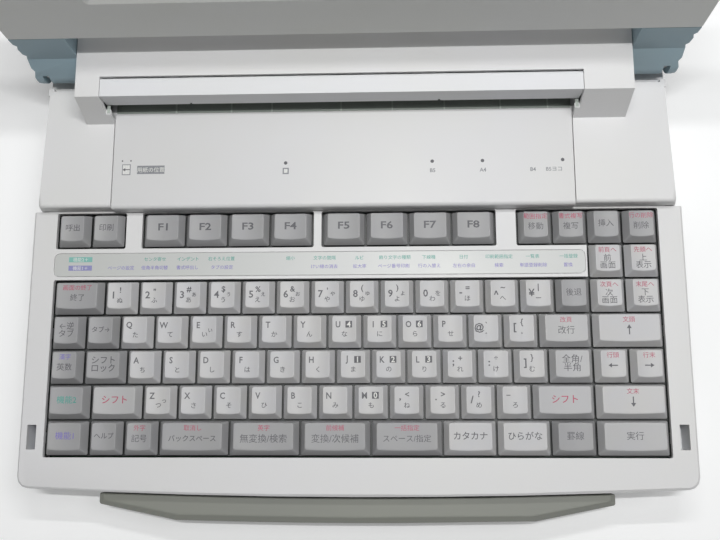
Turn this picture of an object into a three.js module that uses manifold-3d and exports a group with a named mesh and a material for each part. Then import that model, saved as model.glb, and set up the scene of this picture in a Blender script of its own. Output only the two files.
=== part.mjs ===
// Portable word processor: keyboard, built-in printer and a hinged screen lid, open as in use.
// Millimetres, +Z up, +X to the right of the person typing, origin on the table under the middle.

import * as THREE from 'three';
import { mergeVertices } from 'three/addons/utils/BufferGeometryUtils.js';
import Module from 'manifold-3d';

const wasm = await Module();
wasm.setup();

// Fits shared by all pieces
const clearance = 0.3;      // gap between pieces that touch
const slideGap = 0.4;       // gap round a piece that slides
const overrun = 5;          // how far a cutting tool runs past the face it cuts
const mergeDistance = 0.0001;

// Keys
const pitch = 19;
const keyRowCount = 7;
const keyFieldUnits = 17.5;
const cap = {
  gap: 1,
  below: 1,           // skirt below the key plane
  height: 5,          // rim of the top above the key plane
  sideTaper: 2.4,
  frontTaper: 3.2,
  rearTaper: 1.1,
  dish: 0.9,
  baseRadius: 1.1,
  topRadius: 2,
};
const hanger = { depth: 6, width: 2.4, fromField: 2.4 };   // lugs that carry the guide plate
const stem = { width: 4.4, travel: 3, footWidth: 9, footThickness: 1.5, spare: 0.7 };

// Body, worked out from the front edge to the rear
const frontY = -141.4;
const frontMargin = 30.4;       // front edge to the middle of the front key row
const frontBow = 4.3;
const sideMargin = 14.25;       // key field to the side wall
const cornerRadius = 6;
const wall = 2.6;
const foot = { height: 2, radius: 9, fromSide: 26, fromEnd: 24 };
const floorThickness = 2.6;
const postRadius = 4;
const floorChamfer = 4;
const splitHeight = 26;         // joint between the lower case and the covers
const keyPlane = 42;
const bezelRise = 1;
const bezelThickness = 3;
const bezelEdge = 1.2;
const bezelTongue = 5;
const deckGap = 2;              // last key row to the step up to the deck
const deckRise = 10;            // deck above the key plane
const flankInset = 3;           // how far the sides lean in from the joint to the key plane
const deckInset = 5.8;          // how far they have leaned in at the deck
const deckTaper = 5;            // how much nearer the middle each side of the deck ends at the rear
const deckCorner = 2;
const deckThickness = 2.6;
const windowMargin = 1.2;       // key cap to the edge of its window
const windowRadius = 1;

// Housing of the printer
const housing = {
  rise: 21,
  setback: 48,        // deck edge to the foot of the sloped cheeks
  slope: 8.2,
  rearDepth: 59.3,    // hinge axis to the rear wall
  thickness: 2.4,
};
const table = { leftInset: 16, rightInset: 29, lip: 1, lipThickness: 1.6, thickness: 2.3, slotGap: 2.1 };
const paperSlot = { height: 8, rearHeight: 8 };
const flap = { overlap: 2.4, depth: 10.7, thickness: 2, barrel: 2, pin: 1, pinLength: 3, bossDepth: 5 };
const notch = { width: 1.2, height: 1.6 };
const notchShares = [0.176, 0.712];   // along the slot, from its left end
const rearCover = {
  inset: 50,          // ends of the housing to the ends of the cover
  length: 31,
  thickness: 2.4,
  ledge: 2,
  fromRear: 4,
  barrel: 2,
  pin: 1,
  pinLength: 3,
  bossDepth: 5,
};
const strip = { leftOver: 0.75, rightGap: 1.95, front: 2.7, rear: 3.5, thickness: 0.4, sink: 0.6, radius: 3 };

// Hinge and lid
const hinge = {
  setback: 14.3,      // rear of the slot flap to the axis
  rise: 4.2,          // axis above the deck
  barrel: 9.3,
  pin: 3,
  earInset: 10.4,     // outer wall to the ear
  earThickness: 3,
  earRadius: 6,
  postHalf: 4,        // half the width of the post under the ear
  leanBack: 30,       // how far past upright the lid can lean, in degrees
  tubFront: 13.1,
  sideFront: 11.5,    // axis to the front of the opening in the outer wall
  tubRear: 11.3,
  tubDrop: 10.2,
};
const openAngle = 95;
const lid = {
  face: 2.7,          // inner face in front of the axis
  neck: 34.2,         // axis to the lower edge of the lid
  thickness: 19.5,
  frontInset: 0.9,
  sideProud: 0.1,
  wall: 2.2,
  radius: 5,
  footRadius: 1.5,    // corners beside the arms
  bezelDepth: 6.5,
};
const arm = {
  width: 30.2,
  lean: 4,            // how far the outer side leans in from top to bottom
  ribCount: 4,
  ribPitch: 10.1,
  ribDepth: 1.3,
  start: 2,
  tongueWidth: 11,
  tongueDepth: 5,
  tongueHeight: 14,
};
const screen = { inset: 52.6, topBorder: 30.2, border: 30.8, slope: 5.5, slopeDepth: 4, panelDepth: 6, lap: 3 };
const latch = { fromSide: 6.7, slotWidth: 4.9, slotLength: 13, fromFront: 30.9, hookWidth: 3, hookLength: 6, reach: 14 };

// Handle
const handle = {
  inset: 41,          // side walls to the ends of the grip
  shoulder: 42.5,     // ends of the grip to the places where its front begins to slope
  reach: 14.7,        // front of the body to the front of the grip
  bow: 1.3,
  endReach: 4.9,
  gap: 1.5,
  bottom: 13,
  top: 32,
  armInset: 21,
  armWidth: 12,
  armHeight: 5,
  armLength: 50,
  armRise: 2,
  headWidth: 18,
  headLength: 4,
  edge: 3,
};

// Printer works
const works = {
  fromHousing: 10,
  sheet: 1.6,
  baseHeight: 28,
  sideHeight: 36,
  front: 11,          // distances from the hinge axis, to the front and to the rear
  rear: 53,
  rampDrop: 1,        // deck down to the top of the ramp
  rampFall: 6,
  rampLength: 12,
  platenRise: 3,      // feed roller axis up to the platen
  platenInset: 28,
  platenFront: 20,
};
const feed = { radius: 7, shaft: 3, inset: 22, setback: 10.3 };
const pinch = { radius: 5, shaft: 2.4, inset: 28, nip: 0.4 };
const guide = { radius: 4, setback: 46.3, height: 54, fit: 0.2, overhang: 3 };
const carriage = { width: 40, depth: 35, floor: 2.5, rise: 2, wallHeight: 16, wall: 2, fromCoverEnd: 4 };
const cartridge = { height: 22, depth: 19, nozzle: 1.6 };
const motor = { radius: 12, height: 17, fromSide: 12, setback: 36.3, shaft: 1.5, shaftLength: 20, pulley: 5, pulleyHeight: 6 };

// Boards, drive, supply and switches
const board = { fromSide: 10.5, front: 11.4, depth: 138, height: 24, thickness: 1.6 };
const chip = { length: 30, width: 12, height: 2.2 };
const drive = { width: 101.6, depth: 130, height: 17, fromRow: 25, slotWidth: 92, slotHeight: 5, slotDepth: 88, rise: 8 };
const eject = { length: 9, height: 4.4, depth: 9, travel: 3, proud: 1.6, fromEdge: 9, rise: 2.4 };
const supply = { width: 72, depth: 44, height: 18, fromSide: 12, fromRear: 7 };
const inlet = { width: 20, height: 14, depth: 12, wall: 2, pin: 1.2, pinAt: 5, pinLength: 8 };
const powerSwitch = { length: 12, height: 7, travel: 3, proud: 2, plate: 2, lap: 3, behindDeck: 25.5, level: 16 };

// Places that follow from the sizes above
const fieldHalf = (keyFieldUnits * pitch) / 2;
const halfWidth = fieldHalf + sideMargin;
const rowY = (row) => frontY + frontMargin + (keyRowCount - row) * pitch;
const keyX = (unit) => -fieldHalf + unit * pitch;
const bezelTop = keyPlane + bezelRise;
const deckY = rowY(1) + pitch / 2 + deckGap;
const deckTop = keyPlane + deckRise;
const cheekY = deckY + housing.setback;
const brow = cheekY + housing.slope;
const flapRear = brow + flap.depth;
const hingeY = flapRear + hinge.setback;
const hingeZ = deckTop + hinge.rise;
const rearY = hingeY + housing.rearDepth;
const housingTop = deckTop + housing.rise;
const lidLength = hingeY - lid.neck - frontY - lid.frontInset;
const lidHalf = halfWidth + lid.sideProud;
const armInner = lidHalf - arm.width;
const housingHalf = armInner - slideGap;
const worksHalf = housingHalf - works.fromHousing;
const platenHalf = worksHalf - works.platenInset;
const feedHeight = works.baseHeight + works.sheet + slideGap + feed.radius;
const platenHeight = feedHeight + works.platenRise;
const rampTop = deckTop - works.rampDrop;
const rampFoot = rampTop - works.rampFall;
const feedHalf = worksHalf - feed.inset;
const pinchHalf = worksHalf - pinch.inset;
const motorX = motor.fromSide - worksHalf;
const coverHalf = housingHalf - rearCover.inset;
const screenHalf = lidHalf - screen.inset;
const handleHalf = halfWidth - handle.inset;
const handleArmX = handleHalf - handle.armInset;
const shoulderX = handleHalf - handle.shoulder;
const boardHalf = halfWidth - board.fromSide;
const earStart = halfWidth - hinge.earInset;
const earEnd = earStart + hinge.earThickness;
const switchMiddle = deckY + powerSwitch.behindDeck;
const lidTop = lid.neck + lidLength;
const lidBack = lid.thickness - lid.face;
const deckHalf = halfWidth - deckInset;
const flankHalf = halfWidth - flankInset;
const floorTop = foot.height + floorThickness;
const nodes = [];

const add = (name, solid, material, parent = nodes) => {
  const geometry = new THREE.BufferGeometry();
  const mesh = solid.getMesh();
  geometry.setAttribute('position', new THREE.BufferAttribute(new Float32Array(mesh.vertProperties), 3));
  geometry.setIndex(new THREE.BufferAttribute(new Uint32Array(mesh.triVerts), 1));
  geometry.computeVertexNormals();
  const piece = new THREE.Mesh(geometry, material);
  piece.name = name;
  parent.push(piece);
};

const finish = (color, roughness, metalness = 0) =>
  new THREE.MeshStandardMaterial({ color, roughness, metalness, flatShading: true });

const shellPlastic = finish(0xd6d7d6, 0.6);
const tablePlastic = finish(0xcfd0d2, 0.55);
const stripPlastic = finish(0xdfe6df, 0.5);
const slatePlastic = finish(0x73838a, 0.55);
const gripPlastic = finish(0x8d9188, 0.6);
const darkPlastic = finish(0x2c2d2e, 0.6);
const lightCap = finish(0xc9c8c4, 0.55);
const greyCap = finish(0x9c9b97, 0.55);
const paleCap = finish(0xb4b2af, 0.55);
const boardGreen = finish(0x2f5b3a, 0.5);
const steel = finish(0xa9acae, 0.35, 0.9);
const rubber = finish(0x26272a, 0.85);
const glassGrey = finish(0x7d8a86, 0.2);

// Turns a three.js geometry into a solid that can be cut and joined
function toSolid(geometry) {
  const bare = new THREE.BufferGeometry();
  bare.setAttribute('position', geometry.getAttribute('position'));
  bare.setIndex(geometry.getIndex());
  const merged = mergeVertices(bare, mergeDistance);
  return new wasm.Manifold(new wasm.Mesh({
    numProp: 3,
    vertProperties: new Float32Array(merged.getAttribute('position').array),
    triVerts: new Uint32Array(merged.getIndex().array),
  }));
}

const join = (...solids) => solids.reduce((sum, next) => sum.add(next));
const cut = (solid, ...tools) => tools.reduce((rest, tool) => rest.subtract(tool), solid);

// A block between two places on each axis
function block(x, y, z) {
  const geometry = new THREE.BoxGeometry(x[1] - x[0], y[1] - y[0], z[1] - z[0]);
  geometry.translate((x[0] + x[1]) / 2, (y[0] + y[1]) / 2, (z[0] + z[1]) / 2);
  return toSolid(geometry);
}

// An outline of [x, y] points carried up from one height to another
function upright(points, z) {
  const shape = new THREE.Shape(points.map(([x, y]) => new THREE.Vector2(x, y)));
  const geometry = new THREE.ExtrudeGeometry(shape, { depth: z[1] - z[0], bevelEnabled: false });
  geometry.translate(0, 0, z[0]);
  return toSolid(geometry);
}

// A side view of [y, z] points carried across from one x to another
function across(points, x) {
  const shape = new THREE.Shape(points.map(([y, z]) => new THREE.Vector2(y, z)));
  const geometry = new THREE.ExtrudeGeometry(shape, { depth: x[1] - x[0], bevelEnabled: false });
  const turn = new THREE.Matrix4().makeBasis(
    new THREE.Vector3(0, 1, 0),
    new THREE.Vector3(0, 0, 1),
    new THREE.Vector3(1, 0, 0),
  );
  geometry.applyMatrix4(turn);
  geometry.translate(x[0], 0, 0);
  return toSolid(geometry);
}

const spread = ([low, high], gap) => [low - gap, high + gap];
const circle = (radius, a, b, steps) => Array.from({ length: steps }, (_, i) => {
  const angle = (2 * Math.PI * (i + 0.5)) / steps;
  return [a + radius * Math.cos(angle), b + radius * Math.sin(angle)];
});
const rodAcross = (radius, x, y, z, steps = 16) => across(circle(radius, y, z, steps), x);
const rodUp = (radius, x, y, z, steps = 16) => upright(circle(radius, x, y, steps), z);

// Corner points of a rectangle with round corners, in order round it
function roundedRectangle(x, y, radius, steps = 3) {
  const corners = [[x[0], y[0], 1, 1, 2], [x[1], y[0], -1, 1, 3], [x[1], y[1], -1, -1, 0], [x[0], y[1], 1, -1, 1]];
  return corners.flatMap(([cx, cy, sx, sy, quarter]) => Array.from({ length: steps + 1 }, (_, i) => {
    const angle = (Math.PI / 2) * (quarter + i / steps);
    return [cx + sx * radius + radius * Math.cos(angle), cy + sy * radius + radius * Math.sin(angle)];
  }));
}
const roundedBlock = (x, y, z, radius, steps = 3) => upright(roundedRectangle(x, y, radius, steps), z);

// One ring of a loft: a rounded rectangle whose front and rear edges hold equal numbers of points.
// bow draws the front edge back towards its ends, and dish lowers the middle of the ring.
function ring({ x, y, z, radius, rearRadius = radius, bow = 0, dish = 0, cornerSteps = 2, edgeSteps = 4 }) {
  const middle = (x[0] + x[1]) / 2;
  const half = (x[1] - x[0]) / 2;
  const row = (side) => {
    const edge = side < 0 ? y[0] : y[1];
    const round = side < 0 ? radius : rearRadius;
    const points = [];
    for (let i = 0; i <= cornerSteps; i += 1) {
      const angle = (Math.PI / 2) * (i / cornerSteps);
      points.push([x[0] + round * (1 - Math.cos(angle)), edge - side * round * (1 - Math.sin(angle))]);
    }
    for (let i = 1; i < edgeSteps; i += 1) {
      points.push([x[0] + round + (2 * (half - round) * i) / edgeSteps, edge]);
    }
    for (let i = cornerSteps; i >= 0; i -= 1) {
      const angle = (Math.PI / 2) * (i / cornerSteps);
      points.push([x[1] - round * (1 - Math.cos(angle)), edge - side * round * (1 - Math.sin(angle))]);
    }
    return points.map(([px, py]) => {
      const share = (px - middle) / half;
      return [px, side < 0 ? py + bow * share * share : py, z - dish * (1 - share * share)];
    });
  };
  return [...row(-1), ...row(1).reverse()];
}

// Joins rings into one closed solid, with strips from front to rear over both ends
function loft(rings) {
  const count = rings[0].length;
  const positions = rings.flat(2);
  const faces = [];
  for (let level = 0; level + 1 < rings.length; level += 1) {
    for (let i = 0; i < count; i += 1) {
      const next = (i + 1) % count;
      const low = level * count;
      const high = low + count;
      faces.push(low + i, low + next, high + next, low + i, high + next, high + i);
    }
  }
  const top = (rings.length - 1) * count;
  for (let i = 0; i + 1 < count / 2; i += 1) {
    const rear = count - 1 - i;
    faces.push(i, rear - 1, i + 1, i, rear, rear - 1);
    faces.push(top + i, top + i + 1, top + rear - 1, top + i, top + rear - 1, top + rear);
  }
  const geometry = new THREE.BufferGeometry();
  geometry.setAttribute('position', new THREE.BufferAttribute(new Float32Array(positions), 3));
  geometry.setIndex(faces);
  return toSolid(geometry);
}

// Outline of the body at one height, drawn in by an inset
const bodyRing = (z, inset, front = frontY, bow = frontBow, half = halfWidth) => ring({
  x: [inset - half, half - inset],
  y: [front + inset, rearY - inset],
  z,
  radius: Math.max(cornerRadius - inset, cornerRadius / 4),
  bow,
  cornerSteps: 3,
  edgeSteps: bow ? 8 : 1,
});

// Keys: each run is a row, a first place and the widths that follow, in key pitches
const run = (row, start, widths) => {
  let at = start;
  return widths.map((width) => {
    const place = { row, start: at, width };
    at += width;
    return place;
  });
};
const repeat = (count, width) => Array.from({ length: count }, () => width);
const keyFinishes = { light: lightCap, pale: paleCap, grey: greyCap };
const keyLayoutShares = [
  ['keys_recall', 'grey', [1, 0, [1, 1]]],
  ['keys_f1_to_f4', 'grey', [1, 2.55, repeat(4, 1.25)]],
  ['keys_f5_to_f8', 'grey', [1, 7.85, repeat(4, 1.25)]],
  ['keys_edit', 'grey', [1, 13.5, repeat(4, 1)]],
  ['keys_page', 'light', [2, 15.5, [1, 1]], [3, 15.5, [1, 1]]],
  ['key_exit', 'grey', [3, 0, [1.5]]],
  ['keys_digits', 'light', [3, 1.5, repeat(13, 1)]],
  ['key_delete', 'grey', [3, 14.5, [1]]],
  ['keys_tab', 'grey', [4, 0, [1, 1]]],
  ['keys_letters_upper', 'light', [4, 2, repeat(12, 1)]],
  ['key_return', 'pale', [4, 14, [1.5]]],
  ['key_up', 'light', [4, 15.5, [2]]],
  ['key_language', 'grey', [5, 0, [1]]],
  ['key_shift_lock', 'grey', [5, 1, [1.25]]],
  ['keys_letters_middle', 'light', [5, 2.25, repeat(12, 1)]],
  ['key_width', 'pale', [5, 14.25, [1.25]]],
  ['key_left', 'light', [5, 15.5, [1]]],
  ['key_right', 'light', [5, 16.5, [1]]],
  ['key_function_2', 'grey', [6, 0, [1.25]]],
  ['key_shift_left', 'pale', [6, 1.25, [1.5]]],
  ['keys_letters_lower', 'light', [6, 2.75, repeat(11, 1)]],
  ['key_shift_right', 'pale', [6, 13.75, [1.75]]],
  ['key_down', 'light', [6, 15.5, [2]]],
  ['key_function_1', 'grey', [7, 0, [1.25]]],
  ['keys_help', 'grey', [7, 1.25, [1, 1]]],
  ['key_backspace', 'grey', [7, 3.25, [2]]],
  ['key_cancel', 'grey', [7, 5.25, [2]]],
  ['key_convert', 'grey', [7, 7.25, [2]]],
  ['key_space', 'grey', [7, 9.25, [2]]],
  ['keys_script', 'light', [7, 11.25, [1.5, 1.5]]],
  ['key_ruler', 'grey', [7, 14.25, [1.25]]],
  ['key_execute', 'pale', [7, 15.5, [2]]],
];
const keyGroups = keyLayoutShares.map(([name, colour, ...runs]) => [
  name,
  runs.flatMap(([row, start, widths]) => run(row, start, widths)),
  keyFinishes[colour],
]);
const keyMiddle = ({ row, start, width }) => [keyX(start + width / 2), rowY(row)];

const capBottom = keyPlane - cap.below;
const guideTop = capBottom - stem.travel - stem.spare;
const guideThickness = 2;
const guideBottom = guideTop - guideThickness;
const footTop = guideBottom - stem.spare - stem.footThickness;

// A key cap: straight skirt, leaning walls and a top dished like part of a wide cylinder
function keyCap(key) {
  const [x, y] = keyMiddle(key);
  const halfX = (key.width * pitch - cap.gap) / 2;
  const halfY = (pitch - cap.gap) / 2;
  const steps = { cornerSteps: 1, edgeSteps: 3 };
  return loft([
    ring({
      x: [x - halfX, x + halfX],
      y: [y - halfY, y + halfY],
      radius: cap.baseRadius,
      z: capBottom,
      ...steps,
    }),
    ring({
      x: [x - halfX + cap.sideTaper, x + halfX - cap.sideTaper],
      y: [y - halfY + cap.frontTaper, y + halfY - cap.rearTaper],
      radius: cap.topRadius,
      z: keyPlane + cap.height,
      dish: cap.dish,
      ...steps,
    }),
  ]);
}

// The stem runs down through the guide plate to a wider foot on the rubber mat
function keyStem(key) {
  const [x, y] = keyMiddle(key);
  const half = stem.width / 2;
  return block([x - half, x + half], [y - half, y + half], [footTop - stem.footThickness, capBottom + cap.below]);
}

// The feet of one run of keys stand on one strip of the mat
function keyFoot(keys) {
  const rows = [...new Set(keys.map((key) => key.row))];
  const half = stem.footWidth / 2;
  const strips = rows.map((row) => {
    const places = keys.filter((key) => key.row === row).map((key) => keyMiddle(key)[0]);
    return block(
      [Math.min(...places) - half, Math.max(...places) + half],
      [rowY(row) - half, rowY(row) + half],
      [footTop - stem.footThickness, footTop],
    );
  });
  const first = keyMiddle(keys[0]);
  if (rows.length > 1) {
    strips.push(block(
      [first[0] - half, first[0] + half],
      [rowY(Math.max(...rows)), rowY(Math.min(...rows))],
      [footTop - stem.footThickness, footTop],
    ));
  }
  return join(...strips);
}

for (const [name, keys, material] of keyGroups) {
  add(name, join(keyFoot(keys), ...keys.flatMap((key) => [keyCap(key), keyStem(key)])), material);
}

// The plate that guides every stem, hung under the bezel
const allKeys = keyGroups.flatMap(([, keys]) => keys);
const plateX = spread([keyX(0), keyX(keyFieldUnits)], 2 * hanger.fromField);
const plateY = [rowY(keyRowCount) - pitch / 2, rowY(1) + pitch / 2];
const stemHoles = allKeys.map((key) => {
  const [x, y] = keyMiddle(key);
  const half = stem.width / 2 + slideGap;
  return block([x - half, x + half], [y - half, y + half], [guideBottom - overrun, guideTop + overrun]);
});
add('key_guide_plate', cut(block(plateX, plateY, [guideBottom, guideTop]), join(...stemHoles)), darkPlastic);

// Lower case: a tray on four moulded feet
const footPlaces = [-1, 1].flatMap((sx) => [
  [sx * (halfWidth - foot.fromSide), frontY + frontBow + foot.fromEnd],
  [sx * (halfWidth - foot.fromSide), rearY - foot.fromEnd],
]);
const trayOuter = loft([
  bodyRing(foot.height, floorChamfer),
  bodyRing(foot.height + floorChamfer, 0),
  bodyRing(splitHeight, 0),
]);
const trayInner = loft([
  bodyRing(floorTop, floorChamfer + wall),
  bodyRing(floorTop + floorChamfer, wall),
  bodyRing(splitHeight + overrun, wall),
]);
const feet = footPlaces.map(([x, y]) => rodUp(foot.radius, x, y, [0, floorTop]));
const boardFront = frontY + board.front;
const boardPosts = [-1, 1].flatMap((sx) => [
  [sx * (boardHalf - pitch), boardFront + pitch / 2],
  [sx * (halfWidth - drive.depth - 3 * postRadius), boardFront + board.depth - pitch / 2],
]).map(([x, y]) => rodUp(postRadius, x, y, [floorTop - floorThickness / 2, board.height - clearance], 8));
const worksPosts = [[-1, 1], [1, 1], [-1, 0], [1, 0]].map(([sx, far]) => rodUp(
  postRadius,
  sx * (far ? worksHalf / 2 : worksHalf - 2 * postRadius),
  far ? hingeY + works.rear - 2 * postRadius : hingeY - works.front + 2 * postRadius,
  [floorTop - floorThickness / 2, works.baseHeight - clearance],
  8,
));

// Places of the drive, supply, switch and handle, which the tray has openings for
const driveX = [halfWidth - clearance - drive.depth, halfWidth - clearance];
const driveY = [rowY(keyRowCount) + drive.fromRow, rowY(keyRowCount) + drive.fromRow + drive.width];
const driveZ = [floorTop + clearance, floorTop + clearance + drive.height];
const supplyX = [halfWidth - wall - supply.fromSide - supply.width, halfWidth - wall - supply.fromSide];
const supplyRear = rearY - supply.fromRear;
const supplyZ = [floorTop + clearance, floorTop + clearance + supply.height];
const inletMiddle = [(supplyX[0] + supplyX[1]) / 2, (supplyZ[0] + supplyZ[1]) / 2];
const switchY = [switchMiddle - powerSwitch.length / 2, switchMiddle + powerSwitch.length / 2];
const switchZ = [powerSwitch.level - powerSwitch.height / 2, powerSwitch.level + powerSwitch.height / 2];
const handleArmZ = [handle.bottom + handle.armRise, handle.bottom + handle.armRise + handle.armHeight];
const armSlots = [-1, 1].map((side) => block(
  spread([side * handleArmX - handle.armWidth / 2, side * handleArmX + handle.armWidth / 2], slideGap),
  [frontY - overrun, frontY + frontBow + wall + overrun],
  spread(handleArmZ, slideGap),
));
const switchSlot = block(
  [-halfWidth - overrun, -halfWidth + wall + overrun],
  spread(switchY, powerSwitch.travel + slideGap),
  spread(switchZ, slideGap),
);
const driveWindow = block([halfWidth - wall - overrun, halfWidth + overrun], spread(driveY, clearance), spread(driveZ, clearance));
const inletWindow = block(
  spread([inletMiddle[0] - inlet.width / 2, inletMiddle[0] + inlet.width / 2], clearance),
  [rearY - wall - overrun, rearY + overrun],
  spread([inletMiddle[1] - inlet.height / 2, inletMiddle[1] + inlet.height / 2], clearance),
);
const tray = cut(
  join(cut(trayOuter, trayInner), ...feet, ...boardPosts, ...worksPosts),
  ...armSlots,
  switchSlot,
  driveWindow,
  inletWindow,
);
add('lower_case', tray, shellPlastic);

// Keyboard bezel: front half of the top cover, with windows for the keys
const bezelOuter = loft([
  bodyRing(splitHeight + clearance, 0),
  bodyRing(bezelTop - bezelEdge, 0),
  bodyRing(bezelTop, bezelEdge),
]);
const bezelInner = loft([
  bodyRing(splitHeight - overrun, wall),
  bodyRing(bezelTop - bezelThickness, wall),
]);
const bezelEnd = block(
  [-halfWidth - overrun, halfWidth + overrun],
  [deckY - clearance, rearY + overrun],
  [splitHeight - overrun, bezelTop + overrun],
);
const tongue = block(
  [wall + clearance - deckHalf, deckHalf - wall - clearance],
  [deckY - 2 * bezelTongue, deckY + bezelTongue],
  [bezelTop - bezelThickness, bezelTop],
);
const windowGap = windowMargin - cap.gap / 2;
const keyWindow = (startUnit, endUnit, firstRow, lastRow) => roundedBlock(
  spread([keyX(startUnit), keyX(endUnit)], windowGap),
  spread([rowY(lastRow) - pitch / 2, rowY(firstRow) + pitch / 2], windowGap),
  [bezelTop - bezelThickness - overrun, bezelTop + overrun],
  windowRadius,
  2,
);
const runSpan = (name) => {
  const [, keys] = keyGroups.find(([group]) => group === name);
  return [keys[0].start, keys.at(-1).start + keys.at(-1).width];
};
const windows = [
  keyWindow(0, keyFieldUnits, 3, keyRowCount),
  keyWindow(...runSpan('keys_page'), 1, 4),
  ...['keys_recall', 'keys_f1_to_f4', 'keys_f5_to_f8', 'keys_edit'].map((name) => keyWindow(...runSpan(name), 1, 1)),
];
const latchX = halfWidth - latch.fromSide;
const latchY = frontY + latch.fromFront;
const latchSlots = [-1, 1].map((side) => block(
  spread([side * latchX, side * latchX], latch.slotWidth / 2),
  spread([latchY, latchY], latch.slotLength / 2),
  [bezelTop - bezelThickness - overrun, bezelTop + overrun],
));
const stripX = [keyX(0) - strip.leftOver, keyX(runSpan('keys_page')[0]) - strip.rightGap];
const stripY = [rowY(3) + pitch / 2 + strip.front, rowY(1) - pitch / 2 - strip.rear];
const stripPocket = roundedBlock(
  spread(stripX, clearance),
  spread(stripY, clearance),
  [bezelTop - strip.sink, bezelTop + overrun],
  strip.radius,
);
const hangers = [keyX(0) - hanger.fromField, keyX(keyFieldUnits) + hanger.fromField].flatMap((x) => [
  [x, rowY(keyRowCount)],
  [x, rowY(4)],
]).map(([x, y]) => block(
  spread([x, x], hanger.width / 2),
  spread([y, y], hanger.depth / 2),
  [guideTop + clearance, bezelTop - bezelThickness + bezelThickness / 2],
));
const bezel = cut(
  join(cut(bezelOuter, bezelInner, bezelEnd), tongue, ...hangers),
  ...windows,
  ...latchSlots,
  stripPocket,
);
add('keyboard_bezel', bezel, shellPlastic);

// Printed strip of key labels, let into the bezel
add('legend_strip', roundedBlock(
  stripX,
  stripY,
  [bezelTop - strip.sink + clearance, bezelTop - strip.sink + clearance + strip.thickness],
  strip.radius,
), stripPlastic);

// Main board under the keys
const chips = [-4, -2, 0, 2].map((step) => block(
  spread([step * pitch, step * pitch], chip.length / 2),
  spread([rowY(5), rowY(5)], chip.width / 2),
  [board.height + board.thickness / 2, board.height + board.thickness + chip.height],
));
add('main_board', join(block(
  [-boardHalf, boardHalf],
  [boardFront, boardFront + board.depth],
  [board.height, board.height + board.thickness],
), ...chips), boardGreen);

// Printer case: deck and printer housing in one moulding
const deckRing = (z, half, inset, taper) => ring({
  x: [inset - half, half - inset],
  y: [deckY + inset, rearY - inset],
  z,
  radius: Math.max(deckCorner - inset, deckCorner / 4),
  rearRadius: Math.max(cornerRadius - inset, cornerRadius / 4),
  cornerSteps: 3,
  edgeSteps: 1,
}).map(([px, py, pz]) => {
  const narrowing = (taper * (py - deckY)) / (rearY - deckY);
  return [px * (1 - narrowing / half), py, pz];
});
const deckOuter = loft([
  deckRing(splitHeight + clearance, halfWidth, 0, 0),
  deckRing(keyPlane, flankHalf, 0, deckTaper),
  deckRing(deckTop, deckHalf, 0, deckTaper),
]);
const deckInner = loft([
  deckRing(splitHeight - overrun, halfWidth, wall, 0),
  deckRing(splitHeight + clearance, halfWidth, wall, 0),
  deckRing(keyPlane, flankHalf, wall, deckTaper),
  deckRing(deckTop - deckThickness, deckHalf, wall, deckTaper),
]);
const housingSide = (inset) => [
  [cheekY + inset, deckTop - deckThickness - (inset ? overrun : 0)],
  [cheekY + inset, deckTop],
  [brow + inset, housingTop - inset],
  [rearY - inset, housingTop - inset],
  [rearY - inset, deckTop - deckThickness - (inset ? overrun : 0)],
];
const housingSpan = [-housingHalf, housingHalf];
const housingOuter = across(housingSide(0), housingSpan);
const housingInner = across(housingSide(housing.thickness), spread(housingSpan, -housing.thickness));
const tableSpan = [table.leftInset - housingHalf, housingHalf - table.rightInset];
const flapSpan = spread(tableSpan, flap.overlap);
const tablePocket = block(
  spread(tableSpan, clearance),
  [deckY - overrun, cheekY + housing.slope],
  [deckTop - table.thickness - clearance, deckTop + overrun],
);
const tableFloor = block(
  spread(tableSpan, deckThickness),
  [deckY + table.lipThickness, flapRear],
  [deckTop - table.thickness - clearance - deckThickness, deckTop - table.thickness],
);
const lipPocket = block(
  spread(tableSpan, clearance),
  [deckY - overrun, deckY - table.lip + table.lipThickness + clearance],
  [bezelTop, deckTop + overrun],
);
const lipWall = block(
  spread(tableSpan, wall),
  [deckY, deckY - table.lip + table.lipThickness + clearance + wall],
  [bezelTop + clearance, deckTop - table.thickness],
);
const tongueGap = block(
  spread([wall - deckHalf, deckHalf - wall], 0),
  [deckY - overrun, deckY + bezelTongue + clearance],
  [splitHeight - overrun, bezelTop + clearance],
);
const slotMouth = block(
  tableSpan,
  [cheekY - overrun, flapRear + overrun],
  [deckTop, housingTop - flap.thickness],
);
const flapNotch = block(
  spread(flapSpan, clearance),
  [cheekY - overrun, flapRear + 2 * clearance],
  [deckTop + paperSlot.height - clearance, housingTop + overrun],
);
const flapAxis = { y: flapRear - flap.barrel, z: housingTop - flap.barrel };
const flapBosses = [[flapSpan[0] - clearance - flap.bossDepth, flapSpan[0] - clearance],
  [flapSpan[1] + clearance, flapSpan[1] + clearance + flap.bossDepth]].map((x) => block(
  x,
  spread([flapAxis.y, flapAxis.y], 2 * flap.barrel),
  [housingTop - 3 * flap.barrel, housingTop - housing.thickness / 2],
));
const flapPinHole = rodAcross(
  flap.pin + clearance,
  spread(flapSpan, flap.pinLength + clearance),
  flapAxis.y,
  flapAxis.z,
  8,
);
const coverY = [rearY - rearCover.fromRear - rearCover.length, rearY - rearCover.fromRear];
const coverSpan = [-coverHalf, coverHalf];
const coverHole = block(
  spread(coverSpan, clearance),
  spread(coverY, 2 * clearance),
  [housingTop - housing.thickness - overrun, housingTop + overrun],
);
const coverAxis = { y: coverY[1] - rearCover.barrel, z: housingTop - rearCover.barrel };
const coverBosses = [-1, 1].map((side) => {
  const inner = side * (coverHalf + clearance);
  const outer = side * (coverHalf + clearance + rearCover.bossDepth);
  return block(
    [Math.min(inner, outer), Math.max(inner, outer)],
    [coverAxis.y - 2 * rearCover.barrel, rearY - wall / 2],
    [housingTop - 3 * rearCover.barrel, housingTop - housing.thickness / 2],
  );
});
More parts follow.
